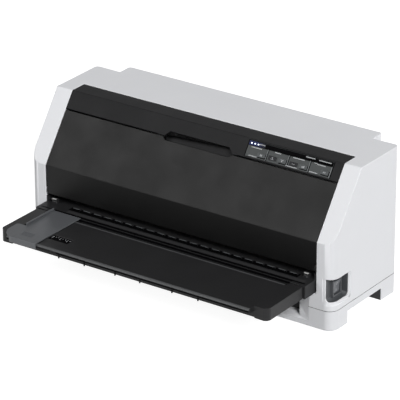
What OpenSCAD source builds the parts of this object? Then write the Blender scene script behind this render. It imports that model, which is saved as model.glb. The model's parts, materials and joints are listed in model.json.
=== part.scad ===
// Wide flatbed dot matrix printer with a hinged front cover, a front paper tray and a rear tractor.
// Millimetres. X runs to the right, Y to the back, Z up; the origin is on the ground under the
// middle of the whole machine. Inside the modules y = 0 is the front face of the case.

/* [Case] */
// Width of the case
case_w = 480; // [440:1:520]
// Height of the flat top above the ground
case_h = 206; // [196:1:230]
// Depth of the case at its shoulders
case_d = 150; // [146:1:170]
// How far the middle of the case stands out behind the shoulders
bump_d = 22; // [22:1:30]
// Width of each shoulder beside that middle part
shoulder_w = 39; // [34:1:42]
// Width of the light cheek on each side of the front cover
cheek_w = 25.5; // [20:0.5:28]
// Height where the upright front bends back into the slope
bend_h = 120; // [112:1:128]
// How far the slope leans back from the bend to the flat top
slope_run = 62; // [56:1:68]
// Wall thickness of the mouldings
wall = 2.5; // [2:0.1:3.2]
// Radius of the upright corners at the front
corner_r = 14; // [8:1:18]
// Radius of the upright corners at the rear
rear_corner_r = 6; // [4:1:10]
// Height of the seam between the lower and the upper case
seam_h = 28.5; // [25:0.5:28.5]
// Height of the underside between the feet
belly_h = 18; // [14:1:20]
// Length of each foot along the side
foot_l = 35.5; // [28:0.5:45]

/* [Front cover and control band] */
// Width of the control band, measured up the slope
band_w = 26.5; // [24:0.5:32]
// How far the band runs back over the flat top
band_top_d = 26; // [18:1:32]
// Height of the front cover's lower edge
cover_low = 79.3; // [78:0.1:84]
// Gap round the front cover
cover_gap = 0.9; // [0.5:0.1:1.5]
// Height of the cover's hinge line
hinge_z = 83; // [82:0.5:85]
// Distance of the hinge line behind the front face
hinge_y = 7; // [6.5:0.1:8]
// Radius of the cover's hinge pins
hinge_pin_r = 3; // [2:0.1:3.4]
// Width of the finger notch between band and cover
notch_w = 108; // [80:1:140]
// Width of the key panel
panel_w = 128; // [110:1:140]
// Height of the key panel, up the slope
panel_h = 21; // [19:0.5:22]
// Distance of the key panel from the right end of the band
panel_inset = 14; // [8:1:40]

/* [Tray and edge guide] */
// How far the tray stands out from the front face
tray_reach = 115; // [100:1:125]
// Height of the tray's paper surface
tray_z = 67; // [65:0.5:67]
// Gap between each end of the tray and the cheek line
tray_gap = 4; // [3:0.5:10]
// Radius of the tray's front corners
tray_corner_r = 8; // [6:1:18]
// Width of the sliding edge guide
guide_w = 45; // [40:1:60]
// Travel of the edge guide
guide_travel = 34; // [20:1:60]

/* [Paper path] */
// Height of the paper bed
bed_z = 68; // [67:0.1:68.4]
// Distance of the front feed rollers behind the front face
front_feed_y = 38; // [37:1:40]
// Radius of the feed tyres
tyre_r = 9.5; // [9:0.1:10]
// Radius of the pinch rollers above them
pinch_r = 7.5; // [6.5:0.1:8]
// Number of tyres on each feed shaft
tyre_count = 6; // [4:1:7]
// Radius of the feed shafts
feed_shaft_r = 4; // [3:0.1:4.4]
// Running clearance of shafts and pins in their bores
run_gap = 0.05; // [0.03:0.01:0.08]

/* [Print mechanism] */
// Radius of the carriage guide shaft
guide_shaft_r = 6; // [4:0.1:7]
// Travel of the carriage to each side of the middle
carriage_travel = 148; // [60:1:148]
// Radius of the belt pulleys
pulley_r = 8; // [7:0.1:8.5]
// Width of the timing belt
belt_w = 6; // [5:0.5:6]
// Thickness of the timing belt
belt_t = 1.2; // [1:0.1:1.4]

/* [Hidden] */
$fn = 48;

WHITE = "gainsboro";
BLACK = [0.12, 0.12, 0.13];
GREY = [0.36, 0.37, 0.39];
STEEL = "silver";
PALE = "ivory";

fine = 0.3;                    // gap between pieces that only have to clear each other
seat = 0.02;                   // gap round a piece that is pushed into its seat
over = 1;                      // how far a cutter runs past what it cuts

// --- Case ---
half_w = case_w / 2;
open_w = case_w - 2 * cheek_w;                     // between the cheeks
half_open = open_w / 2;
bump_half = half_w - shoulder_w;
rear_y = case_d + bump_d;
slope_a = atan((case_h - bend_h) / slope_run);     // angle of the slope above the ground plane
slope_l = norm([slope_run, case_h - bend_h]);
floor_z = belly_h + wall;                          // inside floor of the lower case
cover_l = slope_l - band_w - cover_gap;            // length of the cover's sloping part
guide_front = tray_reach + fine + 1.7;             // how far the edge guide reaches forward
face_y = (guide_front - rear_y) / 2;               // the front face's y in the printer's own frame
bump_floor = 41.5;                                 // underside of the case's rear middle part

// --- Recess under the tray ---
recess_half = half_open - 10;
recess_d = 22;
recess_in = recess_half - 20;                      // its ends are angled; this is where they meet its sides
recess_step = 8;                                   // and this far behind the front face
plinth_h = 8;                                      // height of the bar across the front
shelf_low = 50;                                    // where the front frame starts, above the recess

// --- Paper path ---
gear_m = 1;                                        // module of the gear teeth
feed_teeth = 28;                                   // of the gears on the roller shafts
tyre_z = bed_z + 0.5 - tyre_r;
pinch_z = bed_z + 0.9 + pinch_r;
feed_r = gear_m * feed_teeth / 2;
big_teeth = floor((case_d - 28 - front_feed_y) / gear_m - feed_teeth);
big_r = gear_m * big_teeth / 2;
rear_feed_y = front_feed_y + 2 * (feed_r + big_r);
big_y = (front_feed_y + rear_feed_y) / 2;
head_y = big_y + 1.5;
pinion_teeth = 14;
pinion_r = gear_m * pinion_teeth / 2;
pinion_dir = 217;                                  // direction of the motor from the big gear
pinion_y = big_y + (big_r + pinion_r) * cos(pinion_dir);
pinion_z = tyre_z + (big_r + pinion_r) * sin(pinion_dir);
frame_x = bump_half - wall - 0.5;                  // outer face of each side frame
frame_t = 2;
bed_half = frame_x - 10;
tyre_w = 20;
tyre_pitch = (2 * bed_half - 60) / (tyre_count - 1);
tyre_x = [for (i = [0:tyre_count - 1]) -bed_half + 30 + i * tyre_pitch];

// --- Tractor ---
inner_teeth = 20;
idler_teeth = 16;
inner_r = gear_m * inner_teeth / 2;
idler_r = gear_m * idler_teeth / 2;
idler_y = rear_feed_y + inner_r + idler_r;
tractor_y = idler_y + idler_r + inner_r;
tractor_square = 6;                                // side of the square drive shaft
tractor_half = 9;                                  // half the width of one tractor
tractor_home = frame_x - 50;                       // x of the right tractor at rest
rail_y = tractor_y - 11.5;
rail_z = tyre_z - 11;
rail_r = 2.5;

// --- Carriage ---
shaft_y = head_y + 32;
shaft_z = 104;
belt_y = shaft_y;
belt_z = 138;
drive_x = frame_x - 24;
idler_x = -(frame_x - 20);
head_r = 19;
fin_r = 21;
carriage_half = 26;
nose_z = 71.8;
ribbon_z = 71.2;
lip_z = 126.5;                                     // underside of the front rail's lip
lip_y = front_feed_y + 6.5;
cross_y = belt_y + belt_w / 2 + 1.5;               // front of the rear cross frame

// --- Screws and feet ---
foot_gap = 1;                                      // the case stands this far above the ground
pad_x = half_w - 21;
pad_y = 11;
pad_r = 6;
pad_t = 2.5;
post_z0 = seam_h - 5;                              // the upper case's screw posts
post_z1 = seam_h + 6;
head_z1 = post_z0 - 8;                             // top of the screw heads
screw_top = post_z1 - 1.5;

// --- Front frame and tray ---
frame_half = half_open - 1.2;
shelf_reach = 23.5;                                // how far the front frame stands out
shelf_step = 16.5;                                 // where its top steps down towards the tray
shelf_rear = front_feed_y - tyre_r - 1;
end_rear = 20;
rib_count = 21;
rib_pitch = 17.2;
rib_x0 = -163;
rib_w = 12.5;
rib_h = 1.6;
clip_x = 195;
clip_z = 72.6;
lug_w = 1.9;                                       // of the lugs that carry the cover's pins
lug_gap = 0.8;
tray_half = half_open - tray_gap;
tray_low = tray_z - 17;
tray_back = -shelf_reach - 6;                      // rear edge of the tray's middle part
end_back = -shelf_reach - 0.5;                     // rear edge of the tray's ends
end_w = 20;                                        // width of the blocks at the tray's ends
lip_half = tray_half - end_w;                      // half the length of the rounded lip
block_front = tray_reach - 12;                     // how far the end blocks reach forward
lip_t = 7;
lip_back = tray_reach - 14;                        // how far back the wall under the lip is
guide_x0 = -tray_half + 24;
lobe_w = 13.5;                                     // how far the edge guide's thumb lobe stands out
lobe_r = 22;
scale_x0 = guide_x0 + guide_w;

// --- Cover, band and keys ---
cover_half = half_open - cover_gap;
cover_flange = 12;
flange_x = frame_half - lug_w - lug_gap - wall;    // inner side of the cover's end plates
band_s0 = cover_l + cover_gap;
band_rear = slope_run + band_top_d - fine;
bezel_half = half_open - fine;
notch_up = 7.5;                                    // how far the notch goes into the band
panel_x0 = half_open - panel_inset - panel_w;
panel_s0 = band_s0 + 2.8;
panel_t = 1.2;
strip_s = panel_h - 6;                             // where the lamp strip starts
key_w = 12;
key_h = 5.6;
key_r = 1.2;
key_s = panel_s0 + 5.4;
key_depth = 5;
board_depth = 7;
KEY_PLACES = [[0, 1], [1, 0], [1, 1], [2, 0], [2, 1], [3, 1]];    // pad, and left or right in it
lamp_s = panel_s0 + panel_h - 3;
lamp_r = 1.1;
function key_x(pad, side) = panel_x0 + pad * panel_w / 4 + (side == 0 ? 8.3 : 23);

// --- Openings in the case ---
switch_y = 37;                 // rear edge of the switch recess
switch_z0 = 40;
switch_z1 = 72;
switch_x = half_w - 12;        // where the recess starts on the front face
rear_open_half = frame_x - 10.8;
rear_open_z0 = bump_floor + 5.5;
rear_open_z1 = 112.9;
flap_axis_y = rear_y - 2.25;
flap_axis_z = 110;
flap_pin_r = 1.5;
port_z0 = 28.6;
port_z1 = 41;
parallel_x = -98;
parallel_half = 33;
usb_x = -39;
usb_half = 6.4;
inlet_x = half_w - shoulder_w / 2 - 0.5;
inlet_half = 14;
inlet_z0 = 43;
inlet_z1 = 63;
screw_x = half_w - 14;
screw_front_y = 24;
screw_rear_y = case_d - 19;
screw_r = 1.5;

// --- Power switch ---
rocker_x = switch_x + 0.8;
rocker_z = 55.5;
shroud_y0 = 12;
shroud_y1 = 31.5;

// --- Frames and gears ---
pan_half = frame_x - frame_t;
pan_y0 = 28;
pan_y1 = case_d - wall - 1.5;
frame_rear = rear_y - 4;
cross_top = 165;
pinch_shaft_r = 3;
bed_rear = tractor_y - 16;
gear_x0 = frame_x + 2;
gear_x1 = gear_x0 + 6;
inner_x1 = frame_x - frame_t - 1.7;
inner_x0 = inner_x1 - 5;
big_pin_r = 4;
idler_pin_r = 2.5;
feed_can_r = 15.8;
BUSHES = [                                         // y, z, shaft radius and bush wall
    [front_feed_y, tyre_z, feed_shaft_r, 2.5], [rear_feed_y, tyre_z, feed_shaft_r, 2.5],
    [front_feed_y, pinch_z, pinch_shaft_r, 2], [rear_feed_y, pinch_z, pinch_shaft_r, 2],
    [tractor_y, tyre_z, tractor_square / 2, 2]
];

// --- Tractor details ---
sprocket_r = 8.6;
hub_r = 5.5;
pin_tip_r = 10.4;
flap_hinge = tractor_half + 1;
flap_z = tyre_z + 9.5;

// --- Carriage and ribbon details ---
foot_z = lip_z + 1.8;
head_neck_r = 14.3;
mask_z = ribbon_z - 0.7;
carriage_can_r = 19;
cartridge_half = frame_x - 8;
arm_x = carriage_half + carriage_travel + 4;
cartridge_y0 = lip_y + 1.8;
cartridge_y1 = head_y - fin_r - 2;
knob_x = frame_x - 13;
knob_y = (cartridge_y0 + cartridge_y1) / 2;
knob_z = 124;
board_z = 27;
rear_cover_low = bed_z + 8.3;

// --- Helpers ---
// Extrudes a side view, drawn as y to the right and z up, from x0 to x1
module side_slab(x0, x1) translate([x0, 0, 0]) rotate([90, 0, 90]) linear_extrude(x1 - x0) children();

// Extrudes a front view, drawn as x to the right and z up, from y0 to y1
module front_slab(y0, y1) translate([0, y1, 0]) rotate([90, 0, 0]) linear_extrude(y1 - y0) children();

module block(x0, x1, y0, y1, z0, z1) translate([x0, y0, z0]) cube([x1 - x0, y1 - y0, z1 - z0]);

module rod_x(x0, x1, y, z, r) translate([x0, y, z]) rotate([0, 90, 0]) cylinder(h = x1 - x0, r = r);

module rod_y(y0, y1, x, z, r) translate([x, y0, z]) rotate([-90, 0, 0]) cylinder(h = y1 - y0, r = r);

module rod_z(z0, z1, x, y, r) translate([x, y, z0]) cylinder(h = z1 - z0, r = r);

module both_sides() {
    children();
    mirror([1, 0, 0]) children();
}

// Rounds the corner of a flat outline at [x, y]; [sx, sy] points from the corner into the outline
module corner_cut(x, y, sx, sy, r)
    translate([x, y])
        difference() {
            translate([sx > 0 ? -over : -r, sy > 0 ? -over : -r]) square(r + over);
            translate([sx * r, sy * r]) circle(r);
        }

// Rectangle with its own radius at the front (low y) and the rear corners
module plan_rect(x0, x1, y0, y1, r_front, r_rear)
    difference() {
        translate([x0, y0]) square([x1 - x0, y1 - y0]);
        if (r_front > 0) {
            corner_cut(x0, y0, 1, 1, r_front);
            corner_cut(x1, y0, -1, 1, r_front);
        }
        if (r_rear > 0) {
            corner_cut(x0, y1, 1, -1, r_rear);
            corner_cut(x1, y1, -1, -1, r_rear);
        }
    }

// Point in the side view that lies s up the slope from the bend and d below its surface
function slope_pt(s, d) =
    [s * cos(slope_a) + d * sin(slope_a), bend_h + s * sin(slope_a) - d * cos(slope_a)];

// Where the upright front and the slope meet, d below their surfaces
function bend_pt(d) = [d, bend_h + d * tan(slope_a) - d / cos(slope_a)];

// Where the slope and the flat top meet, d below their surfaces
function crest_pt(d) = [slope_run + d * (1 / cos(slope_a) - 1) / tan(slope_a), case_h - d];

// Places flat things on the slope: x stays, y runs up the slope and z stands out of it
module on_slope(s, lift = 0)
    translate([0, s * cos(slope_a), bend_h + s * sin(slope_a)])
        rotate([slope_a, 0, 0]) translate([0, 0, lift]) children();

// Outline of a gear with straight-sided teeth; a tooth points along the first axis
module gear_outline(teeth, turn) {
    r = gear_m * teeth / 2;
    step = 360 / teeth;
    tip = r + 0.78 * gear_m;
    root = r - 1.05 * gear_m;
    flank = [[root, 0.36], [r, 0.205], [tip, 0.1]];    // radius and half thickness in tooth pitches
    points = [for (i = [0:teeth - 1])
        each [for (k = [0:5])
            let (f = k < 3 ? flank[k] : flank[5 - k], a = turn + step * (i + (k < 3 ? -1 : 1) * f[1]))
            f[0] * [cos(a), sin(a)]]];
    polygon(points);
}

// Turn of a driven gear that puts a gap where the driving gear has a tooth, along direction dir
function mesh_turn(dir, turn_1, teeth_1, teeth_2) =
    dir + 180 + ((dir - turn_1) * teeth_1 / 360 - 0.5) * 360 / teeth_2;

big_turn = 0;
front_turn = mesh_turn(180, big_turn, big_teeth, feed_teeth);
rear_turn = mesh_turn(0, big_turn, big_teeth, feed_teeth);
pinion_turn = mesh_turn(pinion_dir, big_turn, big_teeth, pinion_teeth);
inner_turn = 0;
idler_turn = mesh_turn(0, inner_turn, inner_teeth, idler_teeth);
tractor_turn = mesh_turn(0, idler_turn, idler_teeth, inner_teeth);

module gear_x(x0, x1, y, z, teeth, turn, bore_r)
    side_slab(x0, x1)
        translate([y, z])
            difference() {
                gear_outline(teeth, turn);
                if (bore_r > 0) circle(bore_r);
            }

// --- Case ---
module case_plan(inset)
    plan_rect(-half_w + inset, half_w - inset, inset, case_d - inset,
              corner_r - inset, max(rear_corner_r - inset, 1));

module case_profile(inset)
    polygon([
        [inset, 0], bend_pt(inset), crest_pt(inset), [case_d - inset, case_h - inset], [case_d - inset, 0]
    ]);

// The shoulders and cheeks, without the middle part at the rear
module case_solid(inset, z0)
    intersection() {
        translate([0, 0, z0]) linear_extrude(case_h - z0 + over) case_plan(inset);
        side_slab(-half_w, half_w) case_profile(inset);
    }

module bump_solid(inset)
    translate([0, 0, bump_floor + inset])
        linear_extrude(case_h - bump_floor - 2 * inset)
            plan_rect(-bump_half + inset, bump_half - inset, case_d - 40, rear_y - inset, 0, 4 - inset);

// Vent slots in a rear wall, centred on x
module vent_slots(x, count, pitch, slot, z0, z1)
    for (i = [0:count - 1])
        translate([x + (i - (count - 1) / 2) * pitch - slot / 2, rear_y - 4, z0])
            cube([slot, 8, z1 - z0]);

module screw_places() both_sides() for (y = [screw_front_y, screw_rear_y]) translate([screw_x, y, 0]) children();

// The switch recess, larger by grow all round but at its top
module switch_recess(grow)
    difference() {
        block(switch_x - grow, half_w + over, -over, switch_y + grow, switch_z0 - grow, switch_z1);
        front_slab(-2 * over, switch_y + grow + over) corner_cut(switch_x - grow, switch_z0 - grow, 1, 1, 5);
        side_slab(switch_x - grow - over, half_w + 2 * over) corner_cut(switch_y + grow, switch_z0 - grow, -1, 1, 4);
    }

// Plan of the recess under the tray, larger by grow at its ends and its back
module recess_plan(grow)
    polygon([
        [-recess_half - grow, -over], [recess_half + grow, -over], [recess_half + grow, grow / 2],
        [recess_in + grow, recess_step + grow], [recess_in + grow, recess_d + grow],
        [-recess_in - grow, recess_d + grow], [-recess_in - grow, recess_step + grow],
        [-recess_half - grow, grow / 2]
    ]);

// Shell of the upper case with its main openings
module upper_shell()
    difference() {
        union() {
            case_solid(0, seam_h);
            bump_solid(0);
        }
        case_solid(wall, seam_h - over);
        bump_solid(wall);
        block(-half_open, half_open, -over, slope_run + band_top_d, shelf_low, case_h + over);
        block(-recess_half, recess_half, -over, 40, seam_h - over, shelf_low + 3);
        // recess for the power switch, round the right front corner, with a shallow step round it
        switch_recess(0);
        difference() {
            switch_recess(4);
            translate([0, 0, switch_z0 - 5]) linear_extrude(50) case_plan(0.8);
        }
        // paper slot and cover opening at the rear
        block(-rear_open_half, rear_open_half, rear_y - 6, rear_y + over, rear_open_z0, rear_open_z1);
        for (x = [-105, 0, 105]) vent_slots(x, 12, 7, 3, 128, 182);
        // openings for the data ports and the mains inlet
        for (port = [[parallel_x, parallel_half], [usb_x, usb_half]])
            block(port[0] - port[1] - fine, port[0] + port[1] + fine,
                  case_d - 5, case_d + over, seam_h - over, port_z1 + fine);
        block(inlet_x - inlet_half + 1, inlet_x + inlet_half - 1, case_d - 5, case_d + over,
              inlet_z0 + 1, inlet_z1 - 1);
    }

module upper_case() color(WHITE)
    difference() {
        union() {
            upper_shell();
            both_sides() {
                // inner returns of the cheeks, beside the cover and beside the recess
                side_slab(half_open, half_open + wall)
                    intersection() {
                        difference() {
                            case_profile(wall / 2);
                            case_profile(14);
                        }
                        translate([0, shelf_low]) square([slope_run + band_top_d + 10, case_h]);
                    }
                intersection() {
                    translate([0, 0, seam_h]) linear_extrude(shelf_low - seam_h)
                        difference() {
                            recess_plan(wall);
                            recess_plan(0);
                        }
                    block(recess_in, recess_half + wall, 0, recess_d + wall, seam_h - over, shelf_low + over);
                }
                block(recess_half, half_open + wall, wall / 2, 14, shelf_low - 2, shelf_low);
                // bosses of the rear cover's hinge
                block(rear_open_half, rear_open_half + 5, rear_y - 6, rear_y - wall / 2,
                      flap_axis_z - 4, flap_axis_z + 4);
            }
            // posts that the case screws bite into
            screw_places() {
                translate([0, 0, post_z0]) cylinder(h = post_z1 - post_z0, r = 4);
                translate([0, -1, seam_h]) cube([half_w - wall / 2 - screw_x, 2, post_z1 - seam_h]);
            }
        }
        both_sides() {
            rod_x(half_open - over, half_open + wall + over, hinge_y, hinge_z, hinge_pin_r + run_gap);
            rod_x(rear_open_half - over, rear_open_half + 4, flap_axis_y, flap_axis_z, flap_pin_r + run_gap);
        }
        screw_places()
            translate([0, 0, post_z0 - over])
                cylinder(h = screw_top - post_z0 + 2 * over, r = screw_r + seat);
    }

module foot_outline(inset)
    both_sides()
        for (y = [0, case_d - foot_l])
            translate([recess_half + inset, y + inset])
                square([half_w - recess_half - 2 * inset, foot_l - 2 * inset]);

module foot_solid(inset, z0, z1)
    translate([0, 0, z0]) linear_extrude(z1 - z0)
        intersection() {
            foot_outline(inset);
            case_plan(inset);
        }

module pad_places()
    both_sides() for (y = [pad_y, case_d - pad_y]) translate([pad_x, y, 0]) children();

module lower_case() color(WHITE)
    difference() {
        union() {
            difference() {
                union() {
                    translate([0, 0, belly_h]) linear_extrude(seam_h - belly_h) case_plan(0);
                    foot_solid(0, foot_gap, belly_h + over);
                }
                translate([0, 0, floor_z]) linear_extrude(seam_h) case_plan(wall);
                foot_solid(wall, foot_gap + wall, seam_h + over);
            }
            // walls of the recess under the tray, and the bar across its foot
            intersection() {
                translate([0, 0, foot_gap]) linear_extrude(seam_h - foot_gap) recess_plan(wall);
                block(-half_w, half_w, 0, case_d, 0, seam_h + over);
            }
            block(-recess_in, recess_in, recess_d, recess_d + wall, foot_gap, shelf_low);
            screw_places() translate([0, 0, foot_gap]) cylinder(h = post_z0 - foot_gap, r = 5.5);
        }
        translate([0, 0, plinth_h]) linear_extrude(seam_h) recess_plan(0);
        block(-recess_in, recess_in, wall, recess_d, foot_gap - over, plinth_h - wall);
        // shadow line along the seam
        translate([0, 0, seam_h - 0.7]) linear_extrude(2 * over)
            difference() {
                case_plan(-over);
                case_plan(0.6);
            }
        screw_places() {
            cylinder(h = head_z1, r = 3.6);
            cylinder(h = seam_h, r = 1.8);
        }
        pad_places() cylinder(h = pad_t, r = pad_r + 0.1);
        for (x = [-120, 0, 120]) for (i = [0:7])
            block(x - 28 + 8 * i - 1.5, x - 28 + 8 * i + 1.5, 60, 110, belly_h - over, floor_z + over);
    }

module rubber_feet() color([0.15, 0.15, 0.16]) pad_places() cylinder(h = pad_t, r = pad_r);

module case_screws() color(STEEL)
    screw_places()
        difference() {
            union() {
                translate([0, 0, head_z1 - 2.5]) cylinder(h = 2.5, r = 3);
                translate([0, 0, head_z1 - over]) cylinder(h = screw_top - head_z1 + over, r = screw_r);
            }
            translate([0, 0, head_z1 - 2.5 - over]) cylinder(h = 2, r = 1.3, $fn = 6);
        }

// --- Black front frame, below the cover ---
module front_frame() color(BLACK) {
    difference() {
        side_slab(-frame_half, frame_half)
            polygon([
                [-shelf_reach, shelf_low], [-shelf_reach, bed_z - 2.6], [-shelf_reach + 0.6, bed_z - 2],
                [-shelf_step - 1.5, bed_z - 2], [-shelf_step, bed_z], [shelf_rear, bed_z], [shelf_rear, bed_z - wall],
                [-shelf_step + 1.2, bed_z - wall], [-shelf_step - 0.3, bed_z - 2 - wall],
                [-shelf_reach + wall, bed_z - 2 - wall], [-shelf_reach + wall, shelf_low + wall],
                [shelf_rear, shelf_low + wall], [shelf_rear, shelf_low]
            ]);
        both_sides()
            block(frame_x - frame_t - fine, frame_half + over, end_rear, shelf_rear + over,
                  shelf_low - over, bed_z + over);
    }
    both_sides() {
        block(frame_half - wall, frame_half, -shelf_reach, end_rear, shelf_low, bed_z);
        block(lip_half + 0.5, frame_half, -shelf_reach, -shelf_step + over, bed_z - 6, bed_z);
        // posts under the hinge clips
        block(clip_x + 1, clip_x + 9, -0.5, 3, bed_z - over, clip_z);
        // lugs that carry the cover's hinge pins
        side_slab(frame_half - lug_w, frame_half)
            difference() {
                union() {
                    translate([hinge_y, hinge_z]) circle(hinge_y);
                    translate([0, bed_z - over]) square([2 * hinge_y, hinge_z - 6.6 - bed_z + over]);
                }
                translate([hinge_y, hinge_z]) circle(hinge_pin_r + run_gap);
            }
    }
    // guide ribs across the mouth of the paper slot
    for (i = [0:rib_count - 1])
        translate([rib_x0 + i * rib_pitch, 0, bed_z])
            side_slab(-rib_w / 2, rib_w / 2) polygon([[-4.6, -over], [-3.4, rib_h], [1, rib_h], [3, -over]]);
}

module hinge_clips() color(STEEL)
    both_sides() {
        block(clip_x, clip_x + 10, -1.5, 3.5, clip_z, clip_z + 1.6);
        block(clip_x, clip_x + 10, 3, 3.5, clip_z - 3, clip_z + over);
    }

// --- Tray ---
module paper_tray() color(BLACK) {
    difference() {
        union() {
            difference() {
                translate([0, 0, tray_low]) linear_extrude(tray_z - tray_low)
                    plan_rect(-tray_half, tray_half, -block_front, tray_back, tray_corner_r, 0);
                translate([0, 0, tray_low - over]) linear_extrude(tray_z - wall - tray_low + over)
                    plan_rect(-tray_half + wall, tray_half - wall, -block_front + wall, tray_back - wall,
                              tray_corner_r - wall, 0);
            }
            // walls behind the step under the lip
            block(-lip_half - wall, lip_half + wall, -lip_back, -lip_back + wall, tray_low, tray_z - over);
            both_sides() {
                block(lip_half, lip_half + wall, -block_front + 1, -lip_back + over, tray_low, tray_z - over);
                block(lip_half, tray_half, tray_back - over, end_back, tray_low, tray_z);
            }
            for (x = [-120, -40, 40, 120])
                block(x - 0.8, x + 0.8, -lip_back, tray_back - over, tray_low + 5, tray_z - over);
            // lugs that hold the tray to the front frame
            for (x = [-170, -60, 60, 170])
                block(x - 12, x + 12, tray_back - over, -shelf_reach, tray_low + 2, tray_z - 7);
        }
        block(-lip_half, lip_half, -block_front - over, -lip_back, tray_low - over, tray_z - lip_t / 2);
        // rounded rear edge of the middle part
        side_slab(-lip_half, lip_half) corner_cut(tray_back, tray_z, -1, -1, 3);
        // recess for the paper size scale
        block(scale_x0, scale_x0 + 32, -tray_reach + 24, -tray_reach + 37, tray_z - 0.8, tray_z + over);
    }
    // between the end blocks the front is a rounded lip; a groove in it holds the edge guide,
    // and the groove's ends are the guide's stops
    difference() {
        side_slab(-lip_half, lip_half) {
            translate([-tray_reach + lip_t / 2, tray_z - lip_t / 2]) circle(lip_t / 2);
            translate([-tray_reach + lip_t / 2, tray_z - lip_t]) square([tray_reach - lip_back, lip_t]);
        }
        block(guide_x0 + 2 - fine, guide_x0 + guide_w - 2 + guide_travel + fine, -tray_reach - over,
              -tray_reach + 3, tray_z - 4.4, tray_z - 2.6);
    }
}

module guide_outline()
    difference() {
        union() {
            translate([guide_x0, -guide_front]) square([guide_w, guide_front - shelf_reach + 3.5]);
            translate([guide_x0 - lobe_w, -guide_front]) square([lobe_w + over, 38]);
        }
        corner_cut(guide_x0 - lobe_w, -guide_front, 1, 1, lobe_r);
        corner_cut(guide_x0 - lobe_w, -guide_front + 38, 1, -1, 4);
    }

module edge_guide() color(GREY) {
    top = tray_z + fine + 1.3;
    low = tray_z - lip_t;
    difference() {
        union() {
            translate([0, 0, tray_z + fine]) linear_extrude(top - tray_z - fine) guide_outline();
            // front wall, down over the tray's lip
            intersection() {
                translate([0, 0, low]) linear_extrude(top - low) guide_outline();
                block(guide_x0 - lobe_w, guide_x0 + guide_w, -guide_front, -tray_reach - fine, low, top);
            }
        }
        // rounded front edges
        side_slab(guide_x0 - lobe_w - over, guide_x0 + guide_w + over) {
            corner_cut(-guide_front, top, 1, -1, 1.2);
            corner_cut(-guide_front, low, 1, 1, 1.2);
        }
    }
    // tongue in the groove of the tray's lip, and the fence that the paper runs along
    block(guide_x0 + 2, guide_x0 + guide_w - 2, -tray_reach - fine - over, -tray_reach + 2.7, tray_z - 4.1,
          tray_z - 2.9);
    block(guide_x0, guide_x0 + 1.6, -guide_front + 38, -shelf_reach + 3.5, tray_z + fine, top + 1.6);
}

// --- Front cover ---
module cover_section(d0, d1)
    polygon([
        [d0, cover_low], bend_pt(d0), slope_pt(cover_l, d0), slope_pt(cover_l, d1), bend_pt(d1), [d1, cover_low]
    ]);

// Outline of the finger notch: s up the slope from the cover's edge, up over the band, down over the cover
module notch_outline(up, down)
    polygon([
        [-notch_w / 2 + down, -down], [notch_w / 2 - down, -down], [notch_w / 2, 0],
        [notch_w / 2 - up, up], [-notch_w / 2 + up, up], [-notch_w / 2, 0]
    ]);

module front_cover() color(BLACK)
    difference() {
        union() {
            side_slab(-cover_half, cover_half) cover_section(0, wall);
            both_sides() {
                side_slab(flange_x, flange_x + wall) cover_section(wall / 2, cover_flange);
                rod_x(flange_x + wall / 2, half_open + wall - fine, hinge_y, hinge_z, hinge_pin_r);
            }
            side_slab(-cover_half, cover_half)
                polygon([
                    slope_pt(cover_l - wall, wall / 2), slope_pt(cover_l, wall / 2),
                    slope_pt(cover_l, 7), slope_pt(cover_l - wall, 7)
                ]);
            for (x = [-150:50:150]) side_slab(x - 0.9, x + 0.9) cover_section(wall / 2, 6);
        }
        on_slope(cover_l, -cover_flange) linear_extrude(cover_flange + over) notch_outline(1, 4);
        // clearance for the lugs of the front frame
        both_sides()
            side_slab(flange_x + wall, half_open)
                difference() {
                    union() {
                        translate([hinge_y, hinge_z]) circle(hinge_y + 1.8);
                        translate([-over, cover_low - over]) square([hinge_y + over, hinge_z - cover_low + over]);
                    }
                    translate([hinge_y, hinge_z]) circle(hinge_pin_r);
                }
    }

// --- Control band ---
module band_section(d0, d1)
    polygon([
        slope_pt(band_s0, d0), crest_pt(d0), [band_rear, case_h - d0], [band_rear, case_h - d1],
        crest_pt(d1), slope_pt(band_s0, d1)
    ]);

module key_hole(pad, side, depth)
    on_slope(key_s, -depth) translate([key_x(pad, side), 0, 0])
        linear_extrude(depth + over)
            plan_rect(-key_w / 2 - fine, key_w / 2 + fine, -key_h / 2 - fine, key_h / 2 + fine,
                      key_r + fine, key_r + fine);

module lamp_places() for (i = [0:2]) on_slope(lamp_s) translate([panel_x0 + 4 + 5 * i, 0, 0]) children();

module control_bezel() color(BLACK) {
    difference() {
        union() {
            side_slab(-bezel_half, bezel_half) band_section(0, wall);
            both_sides() side_slab(bezel_half - wall, bezel_half) band_section(wall / 2, 11);
            side_slab(-bezel_half, bezel_half)
                polygon([
                    slope_pt(band_s0, wall / 2), slope_pt(band_s0 + 2, wall / 2),
                    slope_pt(band_s0 + 2, 9), slope_pt(band_s0, 9)
                ]);
            block(-bezel_half, bezel_half, band_rear - wall, band_rear, case_h - 9, case_h - wall / 2);
        }
        on_slope(panel_s0) translate([panel_x0 - 0.1, -0.1, -panel_t])
            cube([panel_w + 0.2, panel_h + 0.2, panel_t + over]);
        for (k = KEY_PLACES) key_hole(k[0], k[1], wall + over);
        lamp_places() translate([0, 0, -4]) cylinder(h = 5, r = lamp_r + 0.1);
        on_slope(band_s0, -10) linear_extrude(10 + over) notch_outline(notch_up, 1);
    }
    // sunk finger pocket behind the notch
    on_slope(band_s0) {
        translate([-notch_w / 2 - 2, -16, -12]) cube([notch_w + 4, notch_up + 18, 1.5]);
        translate([-notch_w / 2 - 2, notch_up + 0.5, -12]) cube([notch_w + 4, 1.5, 12 - wall / 2]);
        for (x = [-notch_w / 2 - 2, notch_w / 2 + 0.5])
            translate([x, 0, -12]) cube([1.5, notch_up + 2, 12 - wall / 2]);
    }
    // posts that carry the key board
    for (x = [panel_x0 - 3, panel_x0 + panel_w + 3])
        on_slope(key_s, -board_depth) translate([x, 0, 0]) cylinder(h = board_depth - panel_t - 0.5, r = 2);
}

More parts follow.
